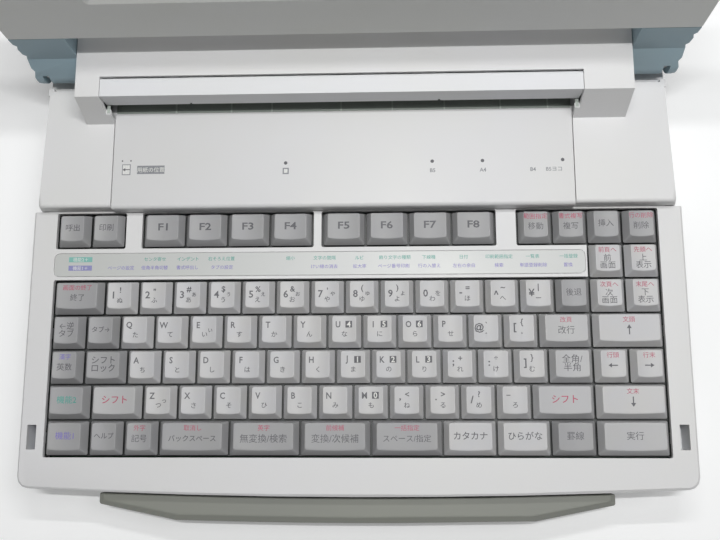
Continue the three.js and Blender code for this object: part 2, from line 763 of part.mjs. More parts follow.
const coverPinHole = rodAcross(
  rearCover.pin + clearance,
  spread(coverSpan, rearCover.pinLength + clearance),
  coverAxis.y,
  coverAxis.z,
  8,
);
const exitMiddle = platenHeight + paperSlot.rearHeight / 4;
const paperExit = block(
  tableSpan,
  [rearY - wall - overrun, rearY + overrun],
  spread([exitMiddle, exitMiddle], paperSlot.rearHeight / 2),
);

// Each arm turns in a tub beside the housing, between the housing and an ear on the outer wall
const tubY = [hingeY - hinge.tubFront, hingeY + hinge.tubRear];
const mirrored = (side, [near, far]) => (side < 0 ? [-far, -near] : [near, far]);
const tubs = [-1, 1].map((side) => block(
  mirrored(side, [housingHalf - housing.thickness, earEnd]),
  spread(tubY, deckThickness),
  [hingeZ - hinge.tubDrop - deckThickness, deckTop],
));
const tubCuts = [-1, 1].flatMap((side) => [
  block(mirrored(side, [housingHalf, earStart]), tubY, [hingeZ - hinge.tubDrop, deckTop + overrun]),
  block(
    mirrored(side, [earStart - overrun, halfWidth + overrun]),
    [hingeY - hinge.sideFront, tubY[1]],
    [hingeZ - hinge.tubDrop, deckTop + overrun],
  ),
]);
const ears = [-1, 1].flatMap((side) => [
  rodAcross(hinge.earRadius, mirrored(side, [earStart, earEnd]), hingeY, hingeZ, 20),
  block(
    mirrored(side, [earStart, earEnd]),
    spread([hingeY, hingeY], hinge.postHalf),
    [hingeZ - hinge.tubDrop - deckThickness, hingeZ],
  ),
]);
const pinEnd = earEnd - clearance;
const pinStart = housingHalf - housing.thickness - hinge.pin;
const pinHoles = [-1, 1].map((side) => rodAcross(
  hinge.pin + clearance,
  mirrored(side, [pinStart - overrun, earEnd + clearance]),
  hingeY,
  hingeZ,
));
const deckBody = cut(join(deckOuter, housingOuter), join(deckInner, housingInner));
const deckParts = join(deckBody, tableFloor, lipWall, ...flapBosses, ...coverBosses, ...tubs);
const printerCase = cut(
  join(cut(deckParts, ...tubCuts), ...ears),
  tablePocket,
  lipPocket,
  tongueGap,
  slotMouth,
  flapNotch,
  flapPinHole,
  coverHole,
  coverPinHole,
  paperExit,
  ...pinHoles,
);
add('printer_case', printerCase, shellPlastic);

// Paper table: the smooth panel that a sheet slides over into the slot
const tableTop = block(
  tableSpan,
  [deckY - table.lip, brow - table.slotGap],
  [deckTop - table.thickness, deckTop],
);
const tableLip = block(
  tableSpan,
  [deckY - table.lip, deckY - table.lip + table.lipThickness],
  [bezelTop + 2 * clearance, deckTop],
);
add('paper_table', join(tableTop, tableLip), tablePlastic);

// Flap over the paper slot
const flapLip = block(
  flapSpan,
  [brow, brow + flap.thickness],
  [deckTop + paperSlot.height, housingTop],
);
const flapTop = block(
  flapSpan,
  [brow, flapAxis.y],
  [housingTop - flap.thickness, housingTop],
);
const lipNotches = notchShares.map((share) => tableSpan[0] + share * (tableSpan[1] - tableSpan[0])).map((x) => block(
  spread([x, x], notch.width / 2),
  [brow - overrun, brow + flap.thickness + overrun],
  [deckTop + paperSlot.height - overrun, deckTop + paperSlot.height + notch.height],
));
add('slot_flap', join(
  cut(flapLip, ...lipNotches),
  flapTop,
  rodAcross(flap.barrel, flapSpan, flapAxis.y, flapAxis.z, 16),
  rodAcross(flap.pin, spread(flapSpan, flap.pinLength), flapAxis.y, flapAxis.z, 8),
), gripPlastic);

// Rear cover over the ink cartridge, hinged at the rear
const coverPlate = block(
  coverSpan,
  [coverY[0], coverAxis.y],
  [housingTop - rearCover.thickness, housingTop],
);
const coverRibs = [coverY[0] + rearCover.ledge, (coverY[0] + coverAxis.y) / 2].map((y) => block(
  spread(coverSpan, -rearCover.ledge),
  [y, y + rearCover.ledge / 2],
  [housingTop - 2 * rearCover.thickness, housingTop - rearCover.thickness / 2],
));
add('printer_cover', join(
  coverPlate,
  ...coverRibs,
  rodAcross(rearCover.barrel, coverSpan, coverAxis.y, coverAxis.z, 16),
  rodAcross(rearCover.pin, spread(coverSpan, rearCover.pinLength), coverAxis.y, coverAxis.z, 8),
), shellPlastic);

// Printer chassis: folded sheet with side plates, a ramp down from the slot and a platen
const worksY = [hingeY - works.front, hingeY + works.rear];
const worksSpan = [-worksHalf, worksHalf];
const sidePlates = [-1, 1].map((side) => block(
  mirrored(side, [worksHalf - works.sheet, worksHalf]),
  worksY,
  [works.baseHeight, works.baseHeight + works.sideHeight],
));
const basePlate = block(worksSpan, worksY, [works.baseHeight, works.baseHeight + works.sheet]);
const rampY = [worksY[0], worksY[0] + works.rampLength];
const ramp = across([
  [rampY[0], rampTop - works.sheet],
  [rampY[1], rampFoot - works.sheet],
  [rampY[1], rampFoot],
  [rampY[0], rampTop],
], worksSpan);
const rampWeb = block(worksSpan, [rampY[0], rampY[0] + works.sheet], [works.baseHeight, rampTop - works.sheet / 2]);
const platenY = [hingeY + works.platenFront, worksY[1]];
const platen = block(
  [-platenHalf, platenHalf],
  platenY,
  [platenHeight - works.sheet, platenHeight],
);
const platenLegs = [platenY[0], platenY[1] - works.sheet].map((y) => block(
  [-platenHalf, platenHalf],
  [y, y + works.sheet],
  [works.baseHeight, platenHeight - works.sheet / 2],
));
const feedY = hingeY + feed.setback;
const pinchZ = feedHeight + feed.radius + pinch.nip + pinch.radius;
const shaftY = hingeY + guide.setback;
const motorY = hingeY + motor.setback;
const shaftHoles = [
  rodAcross(feed.shaft + clearance, spread(worksSpan, overrun), feedY, feedHeight),
  rodAcross(pinch.shaft + clearance, spread(worksSpan, overrun), feedY, pinchZ),
  rodAcross(guide.radius + clearance, spread(worksSpan, overrun), shaftY, guide.height),
];
const motorHole = rodUp(
  motor.shaft + 2 * slideGap,
  motorX,
  motorY,
  [works.baseHeight - overrun, works.baseHeight + works.sheet + overrun],
);
add('printer_chassis', cut(
  join(...sidePlates, basePlate, ramp, rampWeb, platen, ...platenLegs),
  ...shaftHoles,
  motorHole,
), steel);

const shaftEnd = worksHalf + guide.overhang;
add('guide_shaft', rodAcross(guide.radius, [-shaftEnd, shaftEnd], shaftY, guide.height), steel);
add('feed_roller', join(
  rodAcross(feed.radius, [-feedHalf, feedHalf], feedY, feedHeight, 20),
  rodAcross(feed.shaft, [-shaftEnd, shaftEnd], feedY, feedHeight),
), rubber);
add('pinch_roller', join(
  rodAcross(pinch.radius, [-pinchHalf, pinchHalf], feedY, pinchZ, 20),
  rodAcross(pinch.shaft, [-shaftEnd, shaftEnd], feedY, pinchZ),
), darkPlastic);

// Print carriage on its shaft, with the ink cartridge standing in it
const carriageHome = coverHalf - carriage.fromCoverEnd;
const carriageX = [carriageHome - carriage.width / 2, carriageHome + carriage.width / 2];
const carriageRear = shaftY + guide.radius + carriage.wall;
const carriageFront = carriageRear - carriage.depth;
const carriageZ = platenHeight + carriage.rise;
const carriageTop = carriageZ + carriage.floor + carriage.wallHeight;
const bearing = block(
  carriageX,
  [shaftY - guide.radius - carriage.wall, carriageRear],
  [carriageZ, guide.height + guide.radius + carriage.wall],
);
const cradle = block(carriageX, [carriageFront, carriageRear], [carriageZ, carriageTop]);
const wellX = spread(carriageX, -carriage.wall);
const wellY = [carriageFront + carriage.wall, carriageFront + carriage.wall + cartridge.depth + 2 * clearance];
const well = block(wellX, wellY, [carriageZ + carriage.floor, carriageTop + overrun]);
const nozzleGap = block(
  spread([carriageHome, carriageHome], carriage.width / 4),
  spread(wellY, -carriage.wall),
  [carriageZ - overrun, carriageZ + carriage.floor + overrun],
);
const shaftBore = rodAcross(guide.radius + guide.fit, spread(carriageX, overrun), shaftY, guide.height);
add('print_carriage', cut(join(cradle, bearing), well, nozzleGap, shaftBore), darkPlastic);

const cartridgeFloor = carriageZ + carriage.floor + clearance;
const nozzle = block(
  spread([carriageHome, carriageHome], carriage.width / 4 - clearance),
  spread(wellY, -carriage.wall - clearance),
  [carriageZ + cartridge.nozzle, cartridgeFloor + clearance],
);
add('ink_cartridge', join(block(
  spread(wellX, -clearance),
  spread(wellY, -clearance),
  [cartridgeFloor, cartridgeFloor + cartridge.height],
), nozzle), darkPlastic);

// Carriage motor under the base plate, its pulley above it
const motorTop = works.baseHeight - clearance;
const pulleyTop = motorTop + motor.shaftLength;
add('carriage_motor', join(
  rodUp(motor.radius, motorX, motorY, [motorTop - motor.height, motorTop], 20),
  rodUp(motor.shaft, motorX, motorY, [motorTop - motor.shaft, pulleyTop], 10),
  rodUp(motor.pulley, motorX, motorY, [pulleyTop - motor.pulleyHeight, pulleyTop]),
), steel);

// Hinge pins
for (const [name, side] of [['hinge_pin_left', -1], ['hinge_pin_right', 1]]) {
  add(name, rodAcross(hinge.pin, mirrored(side, [pinStart, pinEnd]), hingeY, hingeZ, 20), steel);
}

// Floppy drive in the right side, with its slot and button
const driveFace = driveX[1];
const driveMiddleY = (driveY[0] + driveY[1]) / 2;
const driveSlot = block(
  [driveFace - drive.slotDepth, driveFace + overrun],
  spread([driveMiddleY, driveMiddleY], drive.slotWidth / 2),
  [driveZ[0] + drive.rise, driveZ[0] + drive.rise + drive.slotHeight],
);
const ejectY = [driveY[0] + eject.fromEdge, driveY[0] + eject.fromEdge + eject.length];
const ejectZ = [driveZ[0] + eject.rise, driveZ[0] + eject.rise + eject.height];
const ejectPocket = block(
  [driveFace - eject.depth - eject.travel, driveFace + overrun],
  spread(ejectY, slideGap),
  spread(ejectZ, slideGap),
);
add('floppy_drive', cut(block(driveX, driveY, driveZ), driveSlot, ejectPocket), darkPlastic);
add('eject_button', block([driveFace - eject.depth + clearance, driveFace + eject.proud], ejectY, ejectZ), gripPlastic);

// Power supply with its inlet in the rear wall
const supplyBox = block(supplyX, [supplyRear - supply.depth, supplyRear], supplyZ);
const inletX = [inletMiddle[0] - inlet.width / 2, inletMiddle[0] + inlet.width / 2];
const inletZ = [inletMiddle[1] - inlet.height / 2, inletMiddle[1] + inlet.height / 2];
const inletBlock = block(inletX, [supplyRear - inlet.depth, rearY - clearance], inletZ);
const inletHollow = block(
  spread(inletX, -inlet.wall),
  [rearY - inlet.depth, rearY + overrun],
  spread(inletZ, -inlet.wall),
);
const inletPins = [-1, 1].map((side) => block(
  spread([inletMiddle[0] + side * inlet.pinAt, inletMiddle[0] + side * inlet.pinAt], inlet.pin),
  [rearY - inlet.depth - inlet.pin, rearY - inlet.depth + inlet.pinLength],
  spread([inletMiddle[1], inletMiddle[1]], inlet.pin),
));
add('power_supply', join(cut(join(supplyBox, inletBlock), inletHollow), ...inletPins), steel);

// Power switch: a slider in the left side, held by a plate behind the wall
const sliderFace = -halfWidth;
add('power_switch', join(
  block([sliderFace - powerSwitch.proud, sliderFace + wall + clearance + powerSwitch.plate / 2], switchY, switchZ),
  block(
    [sliderFace + wall + clearance, sliderFace + wall + clearance + powerSwitch.plate],
    spread(switchY, powerSwitch.lap + powerSwitch.travel),
    spread(switchZ, powerSwitch.lap),
  ),
), darkPlastic);

// Carrying handle: a bowed grip on two flat arms that slide into the case
const gripSteps = 8;
const gripPlaces = [
  -handleHalf,
  ...Array.from({ length: gripSteps + 1 }, (_, i) => shoulderX * (2 * (i / gripSteps) - 1)),
  handleHalf,
];
const bodyFrontAt = (x) => frontY + frontBow * (x / halfWidth) ** 2;
const gripRearY = (x) => bodyFrontAt(x) - handle.gap;
const gripFrontY = (x, inset) => {
  const bow = handle.bow * Math.min(Math.abs(x) / shoulderX, 1) ** 2;
  const slope = Math.max(Math.abs(x) - shoulderX, 0) / handle.shoulder;
  const reach = handle.reach - bow;
  return frontY - reach + (reach - handle.endReach) * slope + inset;
};
const gripRing = (z, inset) => {
  const places = gripPlaces.map((x) => x * (1 - inset / handleHalf));
  const front = places.map((x) => [x, gripFrontY(x, inset), z]);
  const rear = places.map((x) => [x, gripRearY(x), z]).reverse();
  return [...front, ...rear];
};
const grip = loft([
  gripRing(handle.bottom, handle.edge),
  gripRing(handle.bottom + handle.edge, 0),
  gripRing(handle.top - handle.edge, 0),
  gripRing(handle.top, handle.edge),
]);
const handleArms = [-1, 1].flatMap((side) => {
  const middle = [side * handleArmX, side * handleArmX];
  const rear = gripRearY(handleArmX) + handle.armLength;
  return [
    block(spread(middle, handle.armWidth / 2), [gripRearY(handleArmX) - handle.edge, rear], handleArmZ),
    block(spread(middle, handle.headWidth / 2), [rear - handle.headLength, rear], handleArmZ),
  ];
});
add('carry_handle', join(grip, ...handleArms), gripPlastic);

// Lid pieces stand in a frame of their own: origin on the hinge axis, +Z up along the lid
const lidPieces = [];
const screenZ = [lid.neck + screen.border, lidTop - screen.topBorder];
const screenSpan = [-screenHalf, screenHalf];
const splitDepth = lid.bezelDepth - lid.face;
const slab = (points, y) => {
  const outline = new THREE.Shape(points.map(([px, pz]) => new THREE.Vector2(px, pz)));
  const geometry = new THREE.ExtrudeGeometry(outline, { depth: y[1] - y[0], bevelEnabled: false });
  geometry.rotateX(Math.PI / 2);
  geometry.translate(0, y[1], 0);
  return toSolid(geometry);
};

// A ring that faces the person typing, for a loft from back to front
const faceRing = (x, z, y, radius, topRadius = radius) => ring({
  x,
  y: z,
  z: -y,
  radius,
  rearRadius: topRadius,
  cornerSteps: 3,
  edgeSteps: 1,
}).map(([px, pz, depth]) => [px, -depth, pz]);
const lidRing = (y, inset) => faceRing(
  spread([-lidHalf, lidHalf], -inset),
  spread([lid.neck, lidTop], -inset),
  y,
  lid.footRadius,
  lid.radius,
);
const backOuter = loft([
  lidRing(lidBack, lid.wall),
  lidRing(lidBack - lid.wall, 0),
  lidRing(splitDepth + clearance, 0),
]);
const backInner = block(
  spread([-lidHalf, lidHalf], -lid.wall),
  [splitDepth - overrun, lidBack - lid.wall],
  spread([lid.neck, lidTop], -lid.wall),
);
const tongueX = (housingHalf + earStart) / 2;
const tongueY = [splitDepth + 2 * clearance + lid.wall, splitDepth + 2 * clearance + lid.wall + arm.tongueDepth];
const tongueGaps = [-1, 1].map((side) => block(
  spread([side * tongueX, side * tongueX], arm.tongueWidth / 2 + clearance),
  spread(tongueY, clearance),
  [lid.neck - overrun, lid.neck + lid.wall + overrun],
));
add('lid_back', cut(backOuter, backInner, ...tongueGaps), shellPlastic, lidPieces);

const bezelFace = loft([lidRing(splitDepth, 0), lidRing(-lid.face, 0)]);
const bezelHollow = block(
  spread([-lidHalf, lidHalf], -lid.wall),
  [lid.wall - lid.face, splitDepth + overrun],
  spread([lid.neck, lidTop], -lid.wall),
);
const surround = slab(
  roundedRectangle(spread(screenSpan, lid.wall), spread(screenZ, lid.wall), lid.radius),
  [-lid.face, screen.slopeDepth + lid.wall / 2 - lid.face],
);
const screenOpening = loft([
  faceRing(
    spread(screenSpan, -screen.slope),
    spread(screenZ, -screen.slope),
    screen.slopeDepth + lid.wall - lid.face,
    lid.wall,
  ),
  faceRing(spread(screenSpan, -screen.slope), spread(screenZ, -screen.slope), screen.slopeDepth - lid.face, lid.wall),
  faceRing(screenSpan, screenZ, -lid.face, lid.wall),
  faceRing(screenSpan, screenZ, -lid.face - overrun, lid.wall),
]);
const latchZ = hingeY - latchY;
const hooks = [-1, 1].flatMap((side) => [
  block(
    spread([side * latchX, side * latchX], latch.hookWidth / 2),
    [-lid.face - latch.reach, -lid.face + lid.wall / 2],
    spread([latchZ, latchZ], latch.hookWidth / 2),
  ),
  block(
    spread([side * latchX, side * latchX], latch.hookWidth / 2),
    [-lid.face - latch.reach, -lid.face - latch.reach + latch.hookWidth],
    [latchZ - latch.hookWidth / 2, latchZ + latch.hookLength / 2],
  ),
]);
add('lid_bezel', join(
  cut(join(cut(bezelFace, bezelHollow), surround), screenOpening),
  ...hooks,
), shellPlastic, lidPieces);

const panelFront = screen.slopeDepth + lid.wall / 2 - lid.face + clearance;
add('lcd_panel', block(
  spread(screenSpan, screen.lap - screen.slope),
  [panelFront, panelFront + screen.panelDepth],
  spread(screenZ, screen.lap - screen.slope),
), glassGrey, lidPieces);

// Hinge arms: a barrel on the pin, a leg up to the lid, and ribs down the outer side
const legTop = lid.neck - clearance;
const legFoot = hinge.tubFront + slideGap;
const armSide = [
  [-hinge.barrel * Math.cos(Math.PI / 6), hinge.barrel * Math.sin(Math.PI / 6)],
  [hinge.barrel, 0],
  [lidBack, legFoot * 2],
  [lidBack, legTop],
  [-lid.face, legTop],
  [-lid.face, legFoot],
];
const armEdgeAt = (z) => lidHalf - (arm.lean * (legTop - z)) / (legTop + hinge.barrel);
const armFoot = -hinge.barrel - overrun;
const ribFaceShare = 0.5;
const ribValleyShare = 0.68;
const ribOutline = Array.from({ length: arm.ribCount }, (_, i) => {
  const top = legTop - i * arm.ribPitch;
  const faceFoot = top - ribFaceShare * arm.ribPitch;
  const valley = top - ribValleyShare * arm.ribPitch;
  return [[armEdgeAt(top), top], [armEdgeAt(faceFoot), faceFoot], [armEdgeAt(valley) - arm.ribDepth, valley]];
}).flat();
const lastRib = legTop - arm.ribCount * arm.ribPitch;
const armOffcut = [
  [lidHalf, legTop + overrun],
  ...ribOutline,
  [armEdgeAt(lastRib), lastRib],
  [armEdgeAt(armFoot), armFoot],
  [lidHalf + overrun, armFoot],
  [lidHalf + overrun, legTop + overrun],
];

// The gap for the ear and its post is open only where the post passes as the lid swings
const gapRadius = hinge.earRadius + clearance;
const leanAngle = THREE.MathUtils.degToRad(hinge.leanBack);
const gapEdge = [gapRadius * Math.cos(leanAngle), gapRadius * Math.sin(leanAngle)];
const postSweep = [
  [armFoot, hinge.postHalf + clearance],
  [0, hinge.postHalf + clearance],
  gapEdge,
  [gapEdge[0] - armFoot * Math.sin(leanAngle), gapEdge[1] + armFoot * Math.cos(leanAngle)],
  [armFoot, armFoot],
];
for (const [name, side] of [['hinge_arm_left', -1], ['hinge_arm_right', 1]]) {
  const inner = armInner;
  const outer = lidHalf;
  const body = join(
    across(armSide, mirrored(side, [inner, outer])),
    rodAcross(hinge.barrel, mirrored(side, [inner, outer]), 0, 0, 24),
  );
  const offcut = slab(armOffcut.map(([x, z]) => [side * x, z]), [armFoot, lidBack + overrun]);
  const gapSpan = mirrored(side, [earStart - clearance, earEnd + clearance]);
  const earGap = join(rodAcross(gapRadius, gapSpan, 0, 0, 24), across(postSweep, gapSpan));
  const bore = rodAcross(hinge.pin + clearance, mirrored(side, [inner - overrun, earEnd + clearance]), 0, 0, 20);
  const tongueUp = block(
    spread([side * tongueX, side * tongueX], arm.tongueWidth / 2),
    tongueY,
    [legTop - arm.start, lid.neck + arm.tongueHeight],
  );
  add(name, join(cut(body, earGap, bore, offcut), tongueUp), slatePlastic, lidPieces);
}

const lidFrame = new THREE.Group();
lidFrame.position.set(0, hingeY, hingeZ);
lidFrame.rotation.x = THREE.MathUtils.degToRad(90 - openAngle);
lidFrame.add(...lidPieces);

const wordProcessor = new THREE.Group();
wordProcessor.add(...nodes, lidFrame);
export default wordProcessor;
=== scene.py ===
import math

import bmesh
import bpy
import numpy as np
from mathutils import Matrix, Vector


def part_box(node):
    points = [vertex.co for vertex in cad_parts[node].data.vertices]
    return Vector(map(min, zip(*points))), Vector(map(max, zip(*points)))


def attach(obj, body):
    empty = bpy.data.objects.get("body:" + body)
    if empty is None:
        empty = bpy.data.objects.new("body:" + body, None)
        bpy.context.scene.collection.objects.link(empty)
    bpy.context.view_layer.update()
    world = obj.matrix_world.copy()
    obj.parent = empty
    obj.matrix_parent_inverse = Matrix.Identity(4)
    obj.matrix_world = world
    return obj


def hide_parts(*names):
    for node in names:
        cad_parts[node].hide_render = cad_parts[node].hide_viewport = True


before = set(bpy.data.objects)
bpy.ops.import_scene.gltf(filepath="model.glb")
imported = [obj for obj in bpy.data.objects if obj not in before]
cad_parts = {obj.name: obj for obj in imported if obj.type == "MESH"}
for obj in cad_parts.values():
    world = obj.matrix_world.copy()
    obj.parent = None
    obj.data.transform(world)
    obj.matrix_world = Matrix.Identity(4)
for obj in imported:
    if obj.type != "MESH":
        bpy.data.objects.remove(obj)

scene = bpy.context.scene
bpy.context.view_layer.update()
print("frame loaded")

metre = 0.001  # lengths below are in millimetres unless a note says otherwise

# Shader kit


class Wire:  # a shader socket that adds a Math node whenever it is used in a sum or a product
    def __init__(self, finish, socket):
        self.finish = finish
        self.socket = socket

    def maths(self, operation, first, second):
        return self.finish.node("ShaderNodeMath", {"operation": operation}, {0: first, 1: second})

    def __add__(self, other):
        return self.maths("ADD", self, other)

    def __radd__(self, other):
        return self.maths("ADD", other, self)

    def __sub__(self, other):
        return self.maths("SUBTRACT", self, other)

    def __rsub__(self, other):
        return self.maths("SUBTRACT", other, self)

    def __mul__(self, other):
        return self.maths("MULTIPLY", self, other)

    def __rmul__(self, other):
        return self.maths("MULTIPLY", other, self)


class Finish:  # one material, or the world, with the nodes that make it
    def __init__(self, name, store=bpy.data.materials, shader="Principled BSDF", **fixed):
        self.material = store.new(name)
        self.material.use_nodes = True
        self.tree = self.material.node_tree
        self.shader = self.tree.nodes[shader]
        self.place = self.node("ShaderNodeTexCoord", output="Object")
        for socket, value in fixed.items():
            self.shader.inputs[socket.replace("_", " ")].default_value = value

    def node(self, kind, settings=None, sockets=None, output=0):
        # settings are the node's own, such as its operation, and sockets takes values or wires
        made = self.tree.nodes.new(kind)
        for setting, value in (settings or {}).items():
            setattr(made, setting, value)
        for key, value in (sockets or {}).items():
            if isinstance(value, Wire):
                self.tree.links.new(value.socket, made.inputs[key])
            else:
                made.inputs[key].default_value = value
        return Wire(self, made.outputs[output])

    def feed(self, socket, wire):
        self.tree.links.new(wire.socket, self.shader.inputs[socket])

    def noise(self, size, detail=2.0, place=None):
        # size is the width of one speck in millimetres
        sockets = {"Vector": place or self.place, "Scale": 1 / (size * metre), "Detail": detail}
        return self.node("ShaderNodeTexNoise", None, sockets, "Fac")

    def ramp(self, wire, low, high):
        # 0 below low, 1 above high and a straight line between
        sockets = {"Value": wire, "From Min": low, "From Max": high}
        return self.node("ShaderNodeMapRange", None, sockets)

    def blend(self, share, first, second):
        # a Mix node has its factor at socket 0, and its colours at sockets 6 and 7 and output 2
        return self.node("ShaderNodeMix", {"data_type": "RGBA"}, {0: share, 6: first, 7: second}, 2)

    def seen(self, *rays):
        # 1 where the surface is met by one of the given kinds of ray, otherwise 0
        share = 0.0
        for ray in rays:
            met = self.node("ShaderNodeLightPath", output=f"Is {ray} Ray")
            share = self.node("ShaderNodeMath", {"operation": "MAXIMUM"}, {0: met, 1: share})
        return share

    def bump(self, height, depth):
        sockets = {"Height": height, "Distance": depth * metre}
        self.feed("Normal", self.node("ShaderNodeBump", None, sockets))


def shade(*levels):
    # a colour typed as it looks on a screen, from 0 to 255, turned into light by the screen's own curve
    shares = np.array(levels) / 255
    light = np.where(shares <= 0.04045, shares / 12.92, ((shares + 0.055) / 1.055) ** 2.4)
    return (*light.tolist(), 1.0)


def tinted(colour, factor):
    return tuple(min(1.0, value * factor) for value in colour[:3]) + (1.0,)


plasticIndex = 1.5
noiseMiddle = 0.5


def moulded(name, look):
    # Moulded plastic. Specks of colour and slow blotches vary the base, the spark-eroded grain of the
    # mould stands up as bump, and the gloss follows the grain and is a little higher in the blotches.
    finish = Finish(name, Roughness=look["roughness"], IOR=plasticIndex)
    colour = look["colour"]
    blotch = finish.ramp(finish.noise(look["blotch"], detail=3.0), *look["blotchEdges"])
    specks = finish.ramp(finish.noise(look["speck"], detail=1.0), *look["speckEdges"])
    aged = finish.blend(blotch, colour, tuple(a * b for a, b in zip(colour, look["age"])) + (1.0,))
    mixed = finish.blend(specks * look["speckShare"], aged, tinted(colour, look["speckTone"]))
    finish.feed("Base Color", mixed)
    grain = finish.noise(look["grain"])
    unevenness = (grain - noiseMiddle) * look["roughSpread"]
    finish.feed("Roughness", look["roughness"] + unevenness - blotch * look["rub"])
    finish.bump(grain, look["grainDepth"])
    return finish.material


plasticLook = {
    "age": (0.985, 0.985, 0.96),    # what red, green and blue are multiplied by in the blotches
    "roughness": 0.55,
    "roughSpread": 0.25,
    "rub": 0.06,                    # how much less rough the blotches are
    "blotch": 60.0,                 # width of a blotch; speck and grain are widths too
    "blotchEdges": (0.35, 0.65),
    "speck": 0.8,
    "speckEdges": (0.4, 0.6),
    "speckShare": 0.25,
    "speckTone": 0.97,
    "grain": 0.45,
    "grainDepth": 0.03,
}


def plastic(name, **changes):
    return moulded(name, {**plasticLook, **changes})


capGrain = {"blotch": 14.0, "grain": 0.3, "grainDepth": 0.02}
finishes = {
    "case_shell": plastic("caseShell", colour=shade(221, 221, 222)),
    "lid_face": plastic("lidFace", colour=shade(218, 219, 217)),
    "table_panel": plastic("tablePanel", colour=shade(212, 212, 213), grainDepth=0.015, roughness=0.45),
    "label_strip": plastic("labelStrip", colour=shade(197, 199, 198), grainDepth=0.01, roughness=0.4),
    "arm_slate": plastic("armSlate", colour=shade(149, 171, 181), blotch=30.0, age=(1.04, 1.0, 0.97)),
    "handle_grey": plastic("handleGrey", colour=shade(132, 134, 127), blotch=40.0),
    "flap_grey": plastic("flapGrey", colour=shade(222, 223, 226)),
    "cap_light": plastic("capLight", colour=shade(195, 195, 197), age=(1.0, 0.99, 0.955), **capGrain),
    "cap_pale": plastic("capPale", colour=shade(182, 182, 184), **capGrain),
    "cap_grey": plastic("capGrey", colour=shade(159, 159, 161), **capGrain),
    "dark_plastic": plastic("darkPlastic", colour=shade(52, 54, 54), roughness=0.5),
    "board_green": plastic("boardGreen", colour=shade(40, 86, 58), grainDepth=0.01, roughness=0.4),
    "slot_grey": plastic("slotGrey", colour=shade(142, 150, 144)),
    # painted light and shade: the slot grey made lighter, a painted highlight on the liner's ribs and painted
    # shade on the ledges beside the slot
    "rib_grey": plastic("ribGrey", colour=shade(170, 178, 172)),
    "lamp_green": plastic("lampGreen", colour=shade(96, 168, 104), grainDepth=0.005, roughness=0.25),
    "roller_rubber": plastic(
        "rollerRubber", colour=shade(38, 38, 40), roughness=0.8, rub=0.0, grainDepth=0.05,
    ),
}


def steelFinish(name, look):
    # Rolled sheet: fine streaks along X, made by squeezing the noise across them
    finish = Finish(name, Metallic=1.0)
    scale = (look["squeeze"], 1.0, 1.0)
    squeezed = finish.node("ShaderNodeMapping", None, {"Vector": finish.place, "Scale": scale})
    streaks = finish.noise(look["streak"], detail=3.0, place=squeezed)
    darker = tinted(look["colour"], look["streakTone"])
    finish.feed("Base Color", finish.blend(streaks, look["colour"], darker))
    finish.feed("Roughness", look["roughness"] + streaks * look["roughSpread"])
    finish.bump(streaks, look["depth"])
    return finish.material


def screenFinish(name, look):
    # Reflective display: a grey-green sheet under glass, with faint columns of cells and a slow cloud of tone
    coat = {"Coat_Weight": look["coat"], "Coat_Roughness": look["coatRoughness"]}
    finish = Finish(name, Roughness=look["roughness"], IOR=plasticIndex, **coat)
    split = finish.node("ShaderNodeSeparateXYZ", None, {0: finish.place})
    across = split * (math.tau / (look["cell"] * metre))
    columns = finish.node("ShaderNodeMath", {"operation": "SINE"}, {0: across})
    cells = finish.ramp(columns, *look["cellEdges"])
    tone = cells * look["cellShare"] + finish.noise(look["cloud"]) * (1 - look["cellShare"])
    finish.feed("Base Color", finish.blend(tone, look["colour"], tinted(look["colour"], look["cellTone"])))
    return finish.material


inkLook = {"speck": 0.6, "wornEdges": (0.35, 0.75), "wornTone": 1.25, "roughness": 0.45, "roughSpread": 0.2}


def inkFinish(name, colour):
    # Printed legend: thin ink, paler where it is worn
    finish = Finish(name, IOR=plasticIndex)
    worn = finish.noise(inkLook["speck"])
    paler = tinted(colour, inkLook["wornTone"])
    finish.feed("Base Color", finish.blend(finish.ramp(worn, *inkLook["wornEdges"]), colour, paler))
    finish.feed("Roughness", inkLook["roughness"] + worn * inkLook["roughSpread"])
    return finish.material


finishes["bright_steel"] = steelFinish("brightSteel", {
    "colour": shade(188, 190, 192), "streak": 1.2, "squeeze": 0.03, "streakTone": 0.82,
    "roughness": 0.25, "roughSpread": 0.2, "depth": 0.01,
})
finishes["display_glass"] = screenFinish("displayGlass", {
    "colour": shade(128, 140, 130), "cell": 0.4, "cellEdges": (0.6, 1.0), "cellShare": 0.5, "cellTone": 0.85,
    "cloud": 90.0, "roughness": 0.3, "coat": 0.6, "coatRoughness": 0.05,
})
inks = {
    "dark": inkFinish("inkDark", shade(84, 84, 88)),
    "red": inkFinish("inkRed", shade(168, 72, 96)),
    "teal": inkFinish("inkTeal", shade(62, 150, 138)),
    "violet": inkFinish("inkViolet", shade(116, 106, 178)),
    "light": inkFinish("inkLight", shade(216, 216, 212)),
    "pale": inkFinish("inkPale", shade(212, 212, 210)),
    "grey": inkFinish("inkGrey", shade(128, 130, 134)),
    "tealBox": inkFinish("inkTealBox", shade(122, 176, 168)),
    "violetBox": inkFinish("inkVioletBox", shade(134, 134, 178)),
}
print("finishes made")

# Mesh kit

pieceCrease = 35.0


def arrayOf(items, field, width, kind=np.int32):
    # one field of every item, as rows of the given width
    values = np.empty(len(items) * width, kind)
    items.foreach_get(field, values)
    return values.reshape(-1, width)


def smoothed(mesh, sharp):
    # smooth shading, but for edges that turn by more than this many degrees
    mesh.polygons.foreach_set("use_smooth", np.ones(len(mesh.polygons), bool))
    mesh.set_sharp_from_angle(angle=math.radians(sharp))


def placedPiece(name, mesh, body):
    piece = bpy.data.objects.new(name, mesh)
    scene.collection.objects.link(piece)
    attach(piece, body)
    return piece


